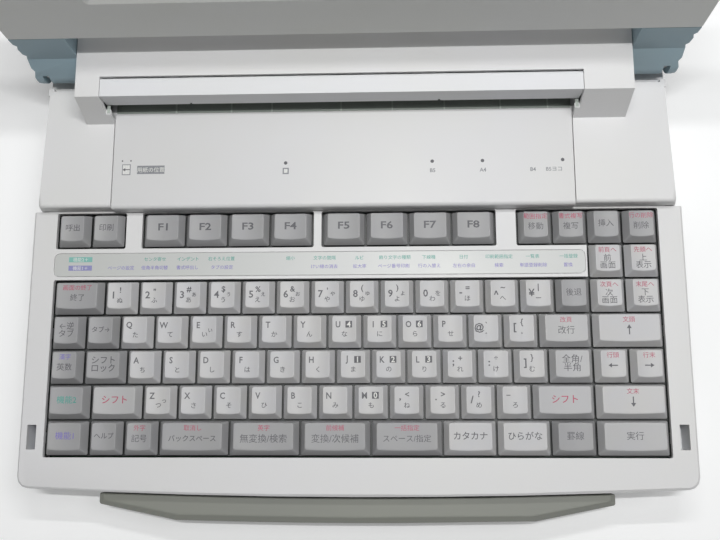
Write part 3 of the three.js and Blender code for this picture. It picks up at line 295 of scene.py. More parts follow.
def gridFaces(rows, columns):
    # the quads of a grid whose columns close on themselves, with a flat face over each end
    low = np.arange(rows - 1)[:, None] * columns + np.arange(columns)
    right = np.arange(rows - 1)[:, None] * columns + (np.arange(columns) + 1) % columns
    quads = np.stack([low, right, right + columns, low + columns], -1).reshape(-1, 4).tolist()
    bottom = list(range(columns))[::-1]
    top = list(range((rows - 1) * columns, rows * columns))
    return quads + [bottom, top]


def roundOutline(cornerSteps, frontSteps, sideSteps):
    # A rounded rectangle in two parts, so that any size and corner radius can be put to it:
    # core holds the middles of the corner arcs as signs, slid along the straight sides,
    # and outward the direction from there. A point is core * (half - radius) + outward * radius.
    corners = [(-1, -1), (1, -1), (1, 1), (-1, 1)]
    core = []
    outward = []
    for index, corner in enumerate(corners):
        start = math.pi * (1 + index / 2)
        turn = start + np.linspace(0, math.pi / 2, cornerSteps + 1)
        core.append(np.tile(corner, (cornerSteps + 1, 1)))
        outward.append(np.stack([np.cos(turn), np.sin(turn)], 1))
        steps = sideSteps if index % 2 else frontSteps
        share = np.arange(1, steps)[:, None] / steps
        following = np.array(corners[(index + 1) % len(corners)])
        core.append(np.array(corner) * (1 - share) + following * share)
        outward.append(np.tile([math.cos(turn[-1]), math.sin(turn[-1])], (steps - 1, 1)))
    return np.concatenate(core).astype(float), np.concatenate(outward)


def boxes(ranges):
    # plain blocks from rows of x, x, y, y, z, z: corners picks the ends that meet at each of the eight
    # corners, and sides holds the corners of the six faces
    ranges = np.asarray(ranges, float).reshape(-1, 6)
    corners = np.array([
        [0, 2, 4], [1, 2, 4], [1, 3, 4], [0, 3, 4],
        [0, 2, 5], [1, 2, 5], [1, 3, 5], [0, 3, 5],
    ])
    sides = np.array([[0, 3, 2, 1], [4, 5, 6, 7], [0, 1, 5, 4], [1, 2, 6, 5], [2, 3, 7, 6], [3, 0, 4, 7]])
    points = ranges[:, corners].reshape(-1, 3)
    first = len(corners) * np.arange(len(ranges))
    faces = (sides + first[:, None, None]).reshape(-1, 4).tolist()
    return points, faces


class Gather:  # collects the solids of one piece, and makes it
    def __init__(self):
        self.points = []
        self.faces = []
        self.marks = []
        self.count = 0

    def add(self, points, faces, mark=0):
        # places in millimetres, faces as lists of corner numbers, and their place in the list of materials
        self.points.append(np.asarray(points, float))
        self.faces += [[corner + self.count for corner in face] for face in faces]
        self.marks += [mark] * len(faces)
        self.count += len(points)

    def make(self, name, body, materials):
        mesh = bpy.data.meshes.new(name)
        mesh.from_pydata((np.concatenate(self.points) * metre).tolist(), [], self.faces)
        for material in materials:
            mesh.materials.append(material)
        mesh.polygons.foreach_set("material_index", np.asarray(self.marks, np.int32))
        mesh.update()
        smoothed(mesh, pieceCrease)
        return placedPiece(name, mesh, body)


# Lettering: built-in letters as thin closed solids, centred on their middle

letterLook = {
    "plainGain": 0.02,      # growth of the outlines, as a share of the letter's size
    "kanaGain": 0.008,
    "firstKana": 0x3000,    # the first sign that counts as kana, and the first that counts as dense
    "firstDense": 0x3400,
    "curveSteps": 2,
    "lineSpace": 0.94,
    "merge": 0.0001,
}
letterStore = {}
halfThick = 0.5             # letters and shapes start one unit thick, this much to each side


def strokeGain(text):
    # plain letters are thickened, dense signs little or not at all, as their strokes would meet
    densest = max(map(ord, text))
    if densest < letterLook["firstKana"]:
        return letterLook["plainGain"]
    return letterLook["kanaGain"] if densest < letterLook["firstDense"] else 0.0


def lettering(text):
    if text not in letterStore:
        curve = bpy.data.curves.new("letters", "FONT")
        curve.body = text
        curve.extrude = halfThick
        curve.offset = strokeGain(text)
        curve.resolution_u = letterLook["curveSteps"]
        curve.space_line = letterLook["lineSpace"]
        curve.align_x = "CENTER"
        holder = bpy.data.objects.new("letters", curve)
        scene.collection.objects.link(holder)
        current = bpy.context.evaluated_depsgraph_get()
        solid = bpy.data.meshes.new_from_object(holder.evaluated_get(current))
        shape = bmesh.new()
        shape.from_mesh(solid)
        bmesh.ops.remove_doubles(shape, verts=shape.verts, dist=letterLook["merge"])
        shape.to_mesh(solid)
        shape.free()
        points = arrayOf(solid.vertices, "co", 3, np.float32).astype(float)
        corners = arrayOf(solid.loops, "vertex_index", 1)[:, 0]
        starts = arrayOf(solid.polygons, "loop_start", 1)[1:, 0]
        faces = [face.tolist() for face in np.split(corners, starts)]
        bpy.data.objects.remove(holder)
        bpy.data.meshes.remove(solid)
        bpy.data.curves.remove(curve)
        points[:, :2] -= (points[:, :2].min(0) + points[:, :2].max(0)) / 2
        letterStore[text] = (points, faces)
    return letterStore[text]


def flatShape(outline):
    # a closed outline of x, y points as a thin solid of the same thickness as the letters
    outline = np.asarray(outline, float)
    count = len(outline)
    points = np.concatenate([np.c_[outline, np.full(count, side)] for side in (-halfThick, halfThick)])
    faces = [list(range(count))[::-1], list(range(count, 2 * count))]
    faces += [[i, (i + 1) % count, (i + 1) % count + count, i + count] for i in range(count)]
    return points, faces


inkThickness = 0.05
letterSizes = {
    "letter": 4.7, "digit": 5.4, "sign": 4.3, "kana": 3.5, "small": 3.3, "pad": 4.2,
    "word": 4.3, "function": 5.6,
}
letterWidths = {"letter": 0.86, "function": 1.3}
dotSteps = 12
arrowShape = np.array([
    [-2.2, -0.25], [0.6, -0.25], [0.6, -1.1], [2.3, 0.0], [0.6, 1.1], [0.6, 0.25], [-2.2, 0.25],
])
arrowTurns = {"right": 0.0, "up": 90.0, "left": 180.0, "down": 270.0}


def markSolid(text, size, stretch=1.0):
    # a mark's points in millimetres with its faces: an arrow, a filled box, a dot or letters of a size,
    # where the arrow's own size is that of a letter
    if text in arrowTurns:
        turn = math.radians(arrowTurns[text])
        spin = np.array([[math.cos(turn), -math.sin(turn)], [math.sin(turn), math.cos(turn)]])
        points, faces = flatShape(arrowShape @ spin.T)
        scale = size / letterSizes["letter"]
    elif text.startswith("box"):
        wide, high = (float(part) / 2 for part in text.split()[1:])
        points, faces = flatShape([[-wide, -high], [wide, -high], [wide, high], [-wide, high]])
        scale = 1.0
    elif text == "dot":
        angle = np.linspace(0, math.tau, dotSteps, endpoint=False)
        points, faces = flatShape(np.c_[np.cos(angle), np.sin(angle)] / 2)
        scale = size
    else:
        points, faces = lettering(text)
        scale = size
    points = points.copy()
    points[:, :2] *= scale
    points[:, 0] *= stretch
    return points, faces


# Keys

keyField = {"pitch": 19.0, "left": -166.25, "frontRow": -111.0, "rows": 7}
capLook = {
    "gap": 1.0,         # between two caps
    "skirt": 41.0,      # height of the lower edge
    "rim": 47.0,        # height of the upper edge at the sides
    "dish": 1.0,        # depth of the dish
    "sideLean": 2.6,    # how far each wall leans in
    "frontLean": 3.2,
    "rearLean": 1.1,
    "skirtRadius": 0.8,
    "rimRadius": 1.2,
    "rimRound": 0.4,
    "skirtRound": 0.2,
}
capMesh = {
    "steps": (4, 10, 4),                    # of each corner, of the front and rear, and of each side
    "wall": (0.04, 0.3, 0.65, 1.0),         # rings up the wall, as shares of its height
    "round": (30, 60, 90),                  # rings of the rim's round, in degrees
    "roundBelow": 0.8,                      # how far below the rim it begins, in its own radii
    "roundSink": 0.6,                       # how far its rings sink below the dish, in its radii
    "dish": (0.9, 0.65, 0.38, 0.14, 0.03),  # rings of the top, as shares of the rim's size
}
stemLook = {"half": 2.2, "top": 42.0, "bottom": 31.6, "footTop": 33.1, "footHalf": 4.5}


def equal(count, width=1.0):
    return [width] * count


# slot of the caps, then each row, counted from the rear, with its start and its widths in pitches
keyTable = {
    "keys_recall": ("cap_grey", [(1, 0, equal(2))]),
    "keys_f1_to_f4": ("cap_grey", [(1, 2.55, equal(4, 1.25))]),
    "keys_f5_to_f8": ("cap_grey", [(1, 7.85, equal(4, 1.25))]),
    "keys_edit": ("cap_grey", [(1, 13.5, equal(4))]),
    "keys_page": ("cap_light", [(2, 15.5, equal(2)), (3, 15.5, equal(2))]),
    "key_exit": ("cap_grey", [(3, 0, [1.5])]),
    "keys_digits": ("cap_light", [(3, 1.5, equal(13))]),
    "key_delete": ("cap_grey", [(3, 14.5, [1])]),
    "keys_tab": ("cap_grey", [(4, 0, equal(2))]),
    "keys_letters_upper": ("cap_light", [(4, 2, equal(12))]),
    "key_return": ("cap_pale", [(4, 14, [1.5])]),
    "key_up": ("cap_light", [(4, 15.5, [2])]),
    "key_language": ("cap_grey", [(5, 0, [1])]),
    "key_shift_lock": ("cap_grey", [(5, 1, [1.25])]),
    "keys_letters_middle": ("cap_light", [(5, 2.25, equal(12))]),
    "key_width": ("cap_pale", [(5, 14.25, [1.25])]),
    "key_left": ("cap_light", [(5, 15.5, [1])]),
    "key_right": ("cap_light", [(5, 16.5, [1])]),
    "key_function_2": ("cap_grey", [(6, 0, [1.25])]),
    "key_shift_left": ("cap_pale", [(6, 1.25, [1.5])]),
    "keys_letters_lower": ("cap_light", [(6, 2.75, equal(11))]),
    "key_shift_right": ("cap_pale", [(6, 13.75, [1.75])]),
    "key_down": ("cap_light", [(6, 15.5, [2])]),
    "key_function_1": ("cap_grey", [(7, 0, [1.25])]),
    "keys_help": ("cap_grey", [(7, 1.25, equal(2))]),
    "key_backspace": ("cap_grey", [(7, 3.25, [2])]),
    "key_cancel": ("cap_grey", [(7, 5.25, [2])]),
    "key_convert": ("cap_grey", [(7, 7.25, [2])]),
    "key_space": ("cap_grey", [(7, 9.25, [2])]),
    "keys_script": ("cap_light", [(7, 11.25, [1.5, 1.5])]),
    "key_ruler": ("cap_grey", [(7, 14.25, [1.25])]),
    "key_execute": ("cap_pale", [(7, 15.5, [2])]),
}


def keyPlaces(runs):
    # middle x, middle y and width of each key of a run
    rows = []
    for row, start, widths in runs:
        ends = start + np.cumsum(widths)
        middle = keyField["left"] + keyField["pitch"] * (ends - np.array(widths) / 2)
        y = keyField["frontRow"] + keyField["pitch"] * (keyField["rows"] - row)
        rows.append(np.c_[middle, np.full(len(widths), y), np.array(widths) * keyField["pitch"]])
    return np.concatenate(rows)


def dishHeight(x, half):
    # the top is part of a wide cylinder: highest at both sides, lowest in the middle
    return capLook["rim"] - capLook["dish"] * (1 - np.clip(np.abs(x) / half, 0, 1) ** 2)


def capGrids(places):
    # One function of two parameters, round the cap and up it. Round it runs a rounded rectangle. Going up,
    # the walls lean in along a straight line until they meet the dished top, the rim turns over a small
    # round, and the rings then shrink to the middle on the cylinder of the dish.
    core, outward = roundOutline(*capMesh["steps"])
    x, y, width = (places[:, i, None] for i in range(3))
    reach = (width - capLook["gap"]) / 2
    deep = (keyField["pitch"] - capLook["gap"]) / 2
    topHalf = reach - capLook["sideLean"]
    height = capLook["rim"] - capLook["skirt"]

    def ring(lean, inset=0.0):
        # lean is 0 at the skirt and 1 at the height of the rim
        radius = capLook["skirtRadius"] + (capLook["rimRadius"] - capLook["skirtRadius"]) * lean
        halfX = reach - capLook["sideLean"] * lean - inset
        front = -deep + capLook["frontLean"] * lean + inset
        rear = deep - capLook["rearLean"] * lean - inset
        ringX = core[:, 0] * (halfX - radius) + outward[:, 0] * radius
        ringY = (front + rear) / 2 + core[:, 1] * ((rear - front) / 2 - radius) + outward[:, 1] * radius
        return ringX, ringY

    edgeX, _ = ring(np.ones((1, 1)))
    rimLean = (dishHeight(edgeX, topHalf) - capLook["skirt"]) / height
    wallLean = rimLean - capLook["rimRound"] * capMesh["roundBelow"] / height
    flat = np.zeros_like(rimLean)
    levels = [(*ring(flat, capLook["skirtRound"]), flat + capLook["skirt"])]
    for share in capMesh["wall"]:
        lean = wallLean * share
        levels.append((*ring(lean), capLook["skirt"] + lean * height))
    for turn in np.radians(capMesh["round"]):
        lean = wallLean + (rimLean - wallLean) * math.sin(turn)
        ringX, ringY = ring(lean, capLook["rimRound"] * (1 - math.cos(turn)))
        drop = capLook["rimRound"] * capMesh["roundSink"] * (1 - math.sin(turn))
        levels.append((ringX, ringY, dishHeight(ringX, topHalf) - drop))
    rimX, rimY, _ = levels[-1]
    middleY = (capLook["frontLean"] - capLook["rearLean"]) / 2
    for share in capMesh["dish"]:
        insideX = rimX * share
        levels.append((insideX, middleY + (rimY - middleY) * share, dishHeight(insideX, topHalf)))
    grid = np.stack([np.stack([a + x, b + y, c], -1) for a, b, c in levels], 1)
    return grid.reshape(len(places), -1, 3), len(levels), len(core)


# Legends: each mark is a text, its ink, its place from the middle of the cap's top, its size and its stretch

kanaRows = {
    "keys_digits": "ぬふあうえおやゆよわほへー",
    "keys_letters_upper": "たていすかんなにらせ゛゜",
    "keys_letters_middle": "ちとしはきくまのりれけむ",
    "keys_letters_lower": "つさそひこみもねるめろ",
}
mainRows = {
    "keys_digits": "1234567890-^¥",
    "keys_letters_upper": "QWERTYUIOP@[",
    "keys_letters_middle": "ASDFGHJKL;:]",
    "keys_letters_lower": "ZXCVBNM,./_",
}
signRow = "!\"#$%&'() =~|"
smallKana = dict(zip("34567890EZ", "ぁぅぇぉゃゅょをぃっ"))
padDigits = dict(zip("UIOJKLM", "4561230"))
cornerSigns = dict(zip("@[;:],./", "`{+*}<>?"))
legendPlaces = {
    "kana": (0.1, -2.8), "digit": (-3.5, 0.1), "sign": (0.2, 2.9), "letter": (-3.4, 2.3), "pad": (2.4, 2.4),
    "besideDigit": (3.1, 0.1), "besideLetter": (3.2, -0.6),
}
padBox = "box 3.6 3.6"


def typingMarks(name):
    # marks of one run of digit or letter keys, key by key
    def mark(text, kind, place=None, ink="dark", stretch=1.0):
        return (text, ink, *legendPlaces[place or kind], letterSizes[kind], stretch)

    keys = []
    for index, (main, kana) in enumerate(zip(mainRows[name], kanaRows[name])):
        marks = [mark(kana, "kana")]
        if name == "keys_digits":
            marks.append(mark(main, "digit"))
            marks.append(mark(signRow[index], "sign"))
            if main in smallKana:
                marks.append(mark(smallKana[main], "small", "besideDigit"))
        elif main in cornerSigns:
            marks.append(mark(main, "digit"))
            marks.append(mark(cornerSigns[main], "sign"))
        else:
            marks.append(mark(main, "letter", stretch=letterWidths["letter"]))
            if main in padDigits:
                marks.append((padBox, "dark", *legendPlaces["pad"], 1.0))
                marks.append(mark(padDigits[main], "pad", ink="light"))
            elif main in smallKana:
                marks.append(mark(smallKana[main], "small", "besideLetter"))
        keys.append([entry for entry in marks if entry[0] != " "])
    return keys


titleLook = {"alone": 0.3, "below": -1.1, "twoLinesBelow": -2.0, "above": 4.4}


def titled(text, ink="dark", above=None, aboveInk="red", size=letterSizes["word"], stretch=1.0):
    # a word in the middle of a cap, lower if a small one stands above it
    if not above:
        return [(text, ink, 0.0, titleLook["alone"], size, stretch)]
    up = titleLook["twoLinesBelow" if "\n" in text else "below"]
    smaller = (above, aboveInk, 0.0, titleLook["above"], letterSizes["small"])
    return [(text, ink, 0.0, up, size, stretch), smaller]


def numbered(*numbers):
    size, stretch = letterSizes["function"], letterWidths["function"]
    return [titled(f"F{number}", size=size, stretch=stretch) for number in numbers]


legends = {
    "keys_recall": [titled("呼出"), titled("印刷")],
    "keys_f1_to_f4": numbered(1, 2, 3, 4),
    "keys_f5_to_f8": numbered(5, 6, 7, 8),
    "keys_edit": [
        titled("移動", above="範囲指定"), titled("複写", above="書式複写"), titled("挿入"),
        titled("削除", above="行の削除"),
    ],
    "keys_page": [
        titled("前\n画面", above="前頁へ"), titled("上\n表示", above="先頭へ"),
        titled("次\n画面", above="次頁へ"), titled("下\n表示", above="末尾へ"),
    ],
    "key_exit": [titled("終了", above="画面の終了", size=4.2)],
    "key_delete": [titled("後退")],
    "keys_tab": [titled("←逆\nタブ", size=4.4), titled("タブ→", size=3.5)],
    "key_return": [titled("改行", above="改頁", size=4.6)],
    "key_up": [titled("up", above="文頭", size=5.6)],
    "key_language": [titled("英数", above="漢字", aboveInk="violet")],
    "key_shift_lock": [titled("シフト\nロック", size=4.6)],
    "key_width": [titled("全角/\n半角", size=4.8)],
    "key_left": [titled("left", above="行頭", size=5.2)],
    "key_right": [titled("right", above="行末", size=5.2)],
    "key_function_2": [titled("機能2", "teal", size=4.4)],
    "key_shift_left": [titled("シフト", "red", size=4.9)],
    "key_shift_right": [titled("シフト", "red", size=4.9)],
    "key_down": [titled("down", above="文末", size=5.6)],
    "key_function_1": [titled("機能1", "violet", size=4.4)],
    "keys_help": [titled("ヘルプ", size=3.6), titled("記号", above="外字")],
    "key_backspace": [titled("バックスペース", above="取消し", size=3.7)],
    "key_cancel": [titled("無変換/検索", above="英字", size=4.8)],
    "key_convert": [titled("変換/次候補", above="前候補", size=4.8)],
    "key_space": [titled("スペース/指定", above="一括指定", size=4.1)],
    "keys_script": [titled("カタカナ", size=4.6), titled("ひらがな", size=4.6)],
    "key_ruler": [titled("罫線", size=4.6)],
    "key_execute": [titled("実行", size=4.6)],
}
legends.update({name: typingMarks(name) for name in mainRows})
inkNames = list(inks)
firstInk = 2    # place of the first ink in a key's materials, after the cap and the rubber
padLayer = 2    # layers of ink under a light digit on its dark box


def keyPiece(name):
    # the caps of one run with their stems, the strip of rubber under them and their legends
    slot, runs = keyTable[name]
    places = keyPlaces(runs)
    grids, levels, ring = capGrids(places)
    gather = Gather()
    for grid in grids:
        gather.add(grid, gridFaces(levels, ring))
    half = stemLook["half"]
    foot = stemLook["footHalf"]
    x, y = places[:, 0], places[:, 1]
    heights = np.tile([stemLook["footTop"], stemLook["top"]], (len(places), 1))
    gather.add(*boxes(np.c_[x - half, x + half, y - half, y + half, heights]), 1)
    for row in np.unique(y):
        inRow = x[y == row]
        strip = [inRow.min() - foot, inRow.max() + foot, row - foot, row + foot]
        gather.add(*boxes([*strip, stemLook["bottom"], stemLook["footTop"]]), 1)
    for (middleX, middleY, width), marks in zip(places, legends[name]):
        topHalf = (width - capLook["gap"]) / 2 - capLook["sideLean"]
        for text, ink, right, up, size, *stretch in marks:
            points, faces = markSolid(text, size, *stretch)
            points[:, 0] += right
            points[:, 1] += up + (capLook["frontLean"] - capLook["rearLean"]) / 2
            surface = dishHeight(points[:, 0], topHalf)
            if ink == "light":
                surface += padLayer * inkThickness
            points[:, 2] = surface + (points[:, 2] + halfThick) * inkThickness
            points[:, :2] += (middleX, middleY)
            gather.add(points, faces, firstInk + inkNames.index(ink))
    materials = [finishes[slot], finishes["dark_plastic"], *inks.values()]
    piece = gather.make(name + "_caps", name + "_body", materials)
    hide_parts(name)


for keyName in keyTable:
    keyPiece(keyName)
print("keys and legends made")

# Shells: copies of the solids with whole faces and rounded edges

deckEdge = {"radius": 2.0, "steps": 5, "depth": 4.2, "height": 0.6, "nodes": ("printer_case", "paper_table")}


def roundedFront(piece):
    # the deck's top edge at the front has a larger round: edges with both ends near that line get a weight
    mesh = piece.data
    low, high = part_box("paper_table")
    ends = arrayOf(mesh.vertices, "co", 3, np.float32)[arrayOf(mesh.edges, "vertices", 2)]
    away = np.abs(ends[..., 1:] - np.array([low[1], high[2]]))
    onLine = (away < np.array([deckEdge["depth"], deckEdge["height"]]) * metre).all((1, 2))
    weight = mesh.attributes.new("bevel_weight_edge", "FLOAT", "EDGE")
    weight.data.foreach_set("value", onLine.astype(np.float32))
    rounding = piece.modifiers.new("front", "BEVEL")
    rounding.width = deckEdge["radius"] * metre
    rounding.segments = deckEdge["steps"]
    rounding.limit_method = "WEIGHT"
    print("front edges rounded on", piece.name, int(onLine.sum()))


shellLook = {"merge": 0.002, "flatTurn": 0.6, "crease": 30.0, "steps": 2}


def softened(node, body, slot, edge):
    # the triangles are merged into whole faces, and every sharp edge is rounded by the same small radius
    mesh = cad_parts[node].data.copy()
    shape = bmesh.new()
    shape.from_mesh(mesh)
    bmesh.ops.remove_doubles(shape, verts=shape.verts, dist=shellLook["merge"] * metre)
    flatTurn = math.radians(shellLook["flatTurn"])
    bmesh.ops.dissolve_limit(shape, angle_limit=flatTurn, verts=shape.verts, edges=shape.edges)
    shape.to_mesh(mesh)
    shape.free()
    mesh.materials.clear()
    mesh.materials.append(finishes[slot])
    smoothed(mesh, shellLook["crease"])
    piece = placedPiece(node + "_shell", mesh, body)
    if node in deckEdge["nodes"]:
        roundedFront(piece)
    rounding = piece.modifiers.new("edges", "BEVEL")
    rounding.width = edge * metre
    rounding.segments = shellLook["steps"]
    rounding.limit_method = "ANGLE"
    rounding.angle_limit = math.radians(shellLook["crease"])
    rounding.use_clamp_overlap = True
    rounding.harden_normals = True
    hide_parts(node)


# body, slot and radius of the edges of each shell
shells = {
    "carry_handle": ("handle", "handle_grey", 1.3),
    "lower_case": ("machine", "case_shell", 0.5),
    "keyboard_bezel": ("machine", "case_shell", 0.5),
    "printer_case": ("machine", "case_shell", 0.35),
    "paper_table": ("machine", "table_panel", 0.4),
    "legend_strip": ("machine", "label_strip", 0.1),
    "slot_flap": ("flap", "flap_grey", 0.12),
    "printer_cover": ("rear_cover", "case_shell", 0.3),
    "hinge_arm_left": ("lid", "arm_slate", 0.7),
    "hinge_arm_right": ("lid", "arm_slate", 0.7),
    "lid_back": ("lid", "case_shell", 0.6),
    "lid_bezel": ("lid", "lid_face", 0.5),
    "eject_button": ("eject", "handle_grey", 0.4),
    "power_switch": ("switch", "dark_plastic", 0.4),
}
for shellName, (body, slot, edge) in shells.items():
    softened(shellName, body, slot, edge)

# solids that are shown as they are, each with its finish
plainNodes = {
    "lcd_panel": "display_glass",
    "key_guide_plate": "dark_plastic",
    "main_board": "board_green",
    "printer_chassis": "bright_steel",
    "guide_shaft": "bright_steel",
    "hinge_pin_left": "bright_steel",
    "hinge_pin_right": "bright_steel",
    "floppy_drive": "dark_plastic",
    "carriage_motor": "bright_steel",
    "power_supply": "bright_steel",
    "feed_roller": "roller_rubber",
    "pinch_roller": "dark_plastic",
    "print_carriage": "dark_plastic",
    "ink_cartridge": "dark_plastic",
}
for node, slot in plainNodes.items():
    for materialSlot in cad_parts[node].material_slots:
        materialSlot.material = finishes[slot]
print("shells made")

# Printed marks on the strip between the key rows, and on the paper table

stripLook = {
    "top": 43.1, "size": 2.5, "box": "box 13.2 2.9", "boxX": -152.4,
    "upper": {"y": -13.3, "ink": "teal", "title": "機能2＋"},
    "lower": {"y": -18.1, "ink": "violet", "title": "機能1＋"},
}
stripWords = {
    "upper": [
        ("センタ寄せ", -110.5), ("インデント", -92.0), ("右そろえ位置", -73.3), ("縮小", -34.8),
        ("文字の間隔", -16.0), ("ルビ", 3.2), ("飾り文字の種類", 22.8), ("下線種", 41.4), ("日付", 60.6),
        ("印刷範囲指定", 79.8), ("一覧表", 98.0), ("一括登録", 117.5),
    ],
    "lower": [
        ("ページの設定", -129.4), ("倍角半角切替", -110.5), ("書式呼出し", -92.2), ("タブの設定", -72.8),
        ("けい線の消去", -16.0), ("拡大率", 3.4), ("ページ番号印刷", 22.1), ("行の入替え", 41.6),
        ("左右の余白", 60.5), ("検索", 79.6), ("単語登録削除", 98.3), ("置換", 117.1),
    ],
}
inkLayers = {"pale": 1, "light": 1}  # layers of ink under the inks that are printed on a box
arrowLayers = 2


def printedMarks(name, height, marks):
    # flat marks at one height: text or shape, ink, x, y and size
    gather = Gather()
    for text, ink, x, y, size in marks:
        points, faces = markSolid(text, size)
        layers = arrowLayers if text in arrowTurns else inkLayers.get(ink, 0)
        points[:, :2] += (x, y)
        points[:, 2] = height + inkThickness * layers + (points[:, 2] + halfThick) * inkThickness
        gather.add(points, faces, inkNames.index(ink))
    gather.make(name, "machine", list(inks.values()))


def stripMarks():
    # a box with a title in it at the left end of each line, then the words of both lines
    size = stripLook["size"]
    marks = []
    for line in stripWords:
        look = stripLook[line]
        marks.append((stripLook["box"], look["ink"] + "Box", stripLook["boxX"], look["y"], 1.0))
        marks.append((look["title"], "light", stripLook["boxX"], look["y"], size))
    for line, words in stripWords.items():
        look = stripLook[line]
        marks += [(text, look["ink"], x, look["y"], size) for text, x in words]
    return marks


printedMarks("strip_words", stripLook["top"], stripMarks())

tableLook = {
    "top": 52.0,
    "sheet": [                  # a sign for a sheet of paper: a frame, an arrow and two dots over it
        ("box 4.8 6.2", "grey", -126.3, 35.8, 1.0), ("box 3.9 5.3", "pale", -126.3, 35.8, 1.0),
        ("left", "dark", -126.3, 35.8, 4.2),
        ("dot", "dark", -128.7, 40.9, 0.9), ("dot", "dark", -123.9, 40.9, 0.9),
    ],
    "title": [("box 15.4 4.8", "grey", -112.5, 35.6, 1.0), ("用紙の位置", "light", -112.5, 35.6, 3.1)],
    "square": [("box 3.4 3.6", "grey", -37.1, 34.0, 1.0), ("box 2.0 2.2", "pale", -37.1, 34.0, 1.0)],
    "dots": {"x": (-37.2, 43.7, 71.2, 114.8), "y": 38.6, "size": 2.0},
    "words": {"x": {"B5": 43.9, "A4": 71.3, "B4": 98.6, "B5ヨコ": 109.9}, "y": 33.4, "size": 3.0},
}


def tableMarks():
    # the signs at the left, then a dot for each place of the edge guide, and the names of the sheet sizes
    marks = tableLook["sheet"] + tableLook["title"] + tableLook["square"]
    dots, words = tableLook["dots"], tableLook["words"]
    marks += [("dot", "dark", x, dots["y"], dots["size"]) for x in dots["x"]]
    return marks + [(text, "grey", x, words["y"], words["size"]) for text, x in words["x"].items()]


printedMarks("table_marks", tableLook["top"], tableMarks())
print("printed marks made")

# Liner of the paper slot: a grey sheet with ribs that the paper slides over, the ribs in a lighter grey as
# painted highlight

linerLook = {
    "x": (-133.8, 120.8), "y": (68.8, 81.0), "z": (49.75, 50.15), "ribTop": 50.9, "ribHalf": 0.4,
    "ribs": (-99.8, -68.5, -45.7, -6.7, 22.0, 51.0, 82.0, 108.0),
}


def slotLiner():
    gather = Gather()
    gather.add(*boxes([*linerLook["x"], *linerLook["y"], *linerLook["z"]]))
    half = linerLook["ribHalf"]
    upright = (linerLook["z"][1], linerLook["ribTop"])
    # the ribs in the lighter grey: painted highlight on them
    gather.add(*boxes([[x - half, x + half, *linerLook["y"], *upright] for x in linerLook["ribs"]]), 1)
    gather.make("slot_liner", "machine", [finishes["slot_grey"], finishes["rib_grey"]])


# painted shade on the ledges beside the slot: where the thin grey sheets lie
ledgeShadeLook = {"x": ((-136.2, -134.3), (121.3, 123.2)), "y": (66.0, 70.4), "z": (59.7, 59.85)}


def ledgeShadePads():
    # painted shade: a thin grey sheet on each ledge beside the slot, where the lip of the flap comes to rest,
    # darker than the ledge's lit top
    gather = Gather()
    gather.add(*boxes([[*ends, *ledgeShadeLook["y"], *ledgeShadeLook["z"]] for ends in ledgeShadeLook["x"]]))
    gather.make("flap_stops", "machine", [finishes["rib_grey"]])


pocketLook = {
    "x": 173.8, "y": -110.5, "across": 2.6, "along": 6.65, "wall": 0.8, "top": 40.6, "bottom": 28.8,
}


def latchPockets():
    # a moulded pocket under each latch slot: four walls and a floor round the room for the hook
    look = pocketLook
    wall = look["wall"]
    front, rear = look["y"] - look["along"], look["y"] + look["along"]
    upright = (look["bottom"], look["top"])
    ranges = []
    for middle in (-look["x"], look["x"]):
        left, right = middle - look["across"], middle + look["across"]
        outer = (left - wall, right + wall)
        ranges.append([outer[0], left, front, rear, *upright])
        ranges.append([right, outer[1], front, rear, *upright])
        ranges.append([*outer, front - wall, front, *upright])
        ranges.append([*outer, rear, rear + wall, *upright])
        ranges.append([*outer, front - wall, rear + wall, look["bottom"] - wall, look["bottom"]])
    gather = Gather()
    gather.add(*boxes(ranges))
    gather.make("latch_pockets", "machine", [finishes["flap_grey"]])


slotLiner()
ledgeShadePads()
latchPockets()

# Underside: pads round the feet, screws and air slots, the slots and the screws' crosses as dark boxes of
# painted shade


def turned(profile, x, y, steps):
    # a solid of revolution about an upright axis, from rows of radius and height
    angle = np.linspace(0, math.tau, steps, endpoint=False)
    profile = np.asarray(profile, float)
    rings = np.stack([
        x + profile[:, :1] * np.cos(angle), y + profile[:, :1] * np.sin(angle),
        np.repeat(profile[:, 1:], steps, 1),
    ], -1)
    return rings.reshape(-1, 3), gridFaces(len(profile), steps)


baseLook = {
    "feet": [(-154.5, -113.1), (154.5, -113.1), (-154.5, 131.0), (154.5, 131.0)],
    "pad": [(7.4, -0.05), (8.2, -0.02), (8.4, 0.3), (9.4, 0.6), (9.7, 1.2), (9.7, 1.95)],
    "padSteps": 32,
    "screws": [
        (-168.0, -60.0), (168.0, -100.0), (-168.0, 60.0), (168.0, 60.0),
        (-40.0, -128.0), (40.0, -128.0), (-40.0, 140.0), (40.0, 140.0),
    ],
    "screw": [(2.2, 1.5), (3.0, 1.6), (3.3, 1.9), (3.3, 2.1)],
    "screwSteps": 20,
    # the crosses and the air slots are dark boxes of painted shade
    "cross": {"long": 1.7, "short": 0.3, "z": (1.46, 1.6)},
    "slots": {"first": -40.0, "pitch": 7.0, "count": 12, "half": 1.1, "y": (70.0, 104.0), "z": (1.95, 2.2)},
}


def undersideParts():
    cross, slots = baseLook["cross"], baseLook["slots"]
    gather = Gather()
    for x, y in baseLook["feet"]:
        gather.add(*turned(baseLook["pad"], x, y, baseLook["padSteps"]))
    for x, y in baseLook["screws"]:
        gather.add(*turned(baseLook["screw"], x, y, baseLook["screwSteps"]), 1)
        # each screw's cross is a dark box on its head: painted shade for the recess
        for wide, deep in ((cross["long"], cross["short"]), (cross["short"], cross["long"])):
            gather.add(*boxes([x - wide, x + wide, y - deep, y + deep, *cross["z"]]))
    # the air slots are thin dark boxes just proud of the floor: painted shade for the openings
    middles = slots["first"] + slots["pitch"] * np.arange(slots["count"])
    rows = [[x - slots["half"], x + slots["half"], *slots["y"], *slots["z"]] for x in middles]
    gather.add(*boxes(rows), 2)
    materials = [finishes["roller_rubber"], finishes["bright_steel"], finishes["dark_plastic"]]
    gather.make("underside_parts", "machine", materials)


undersideParts()

# Trims of the sides and the rear

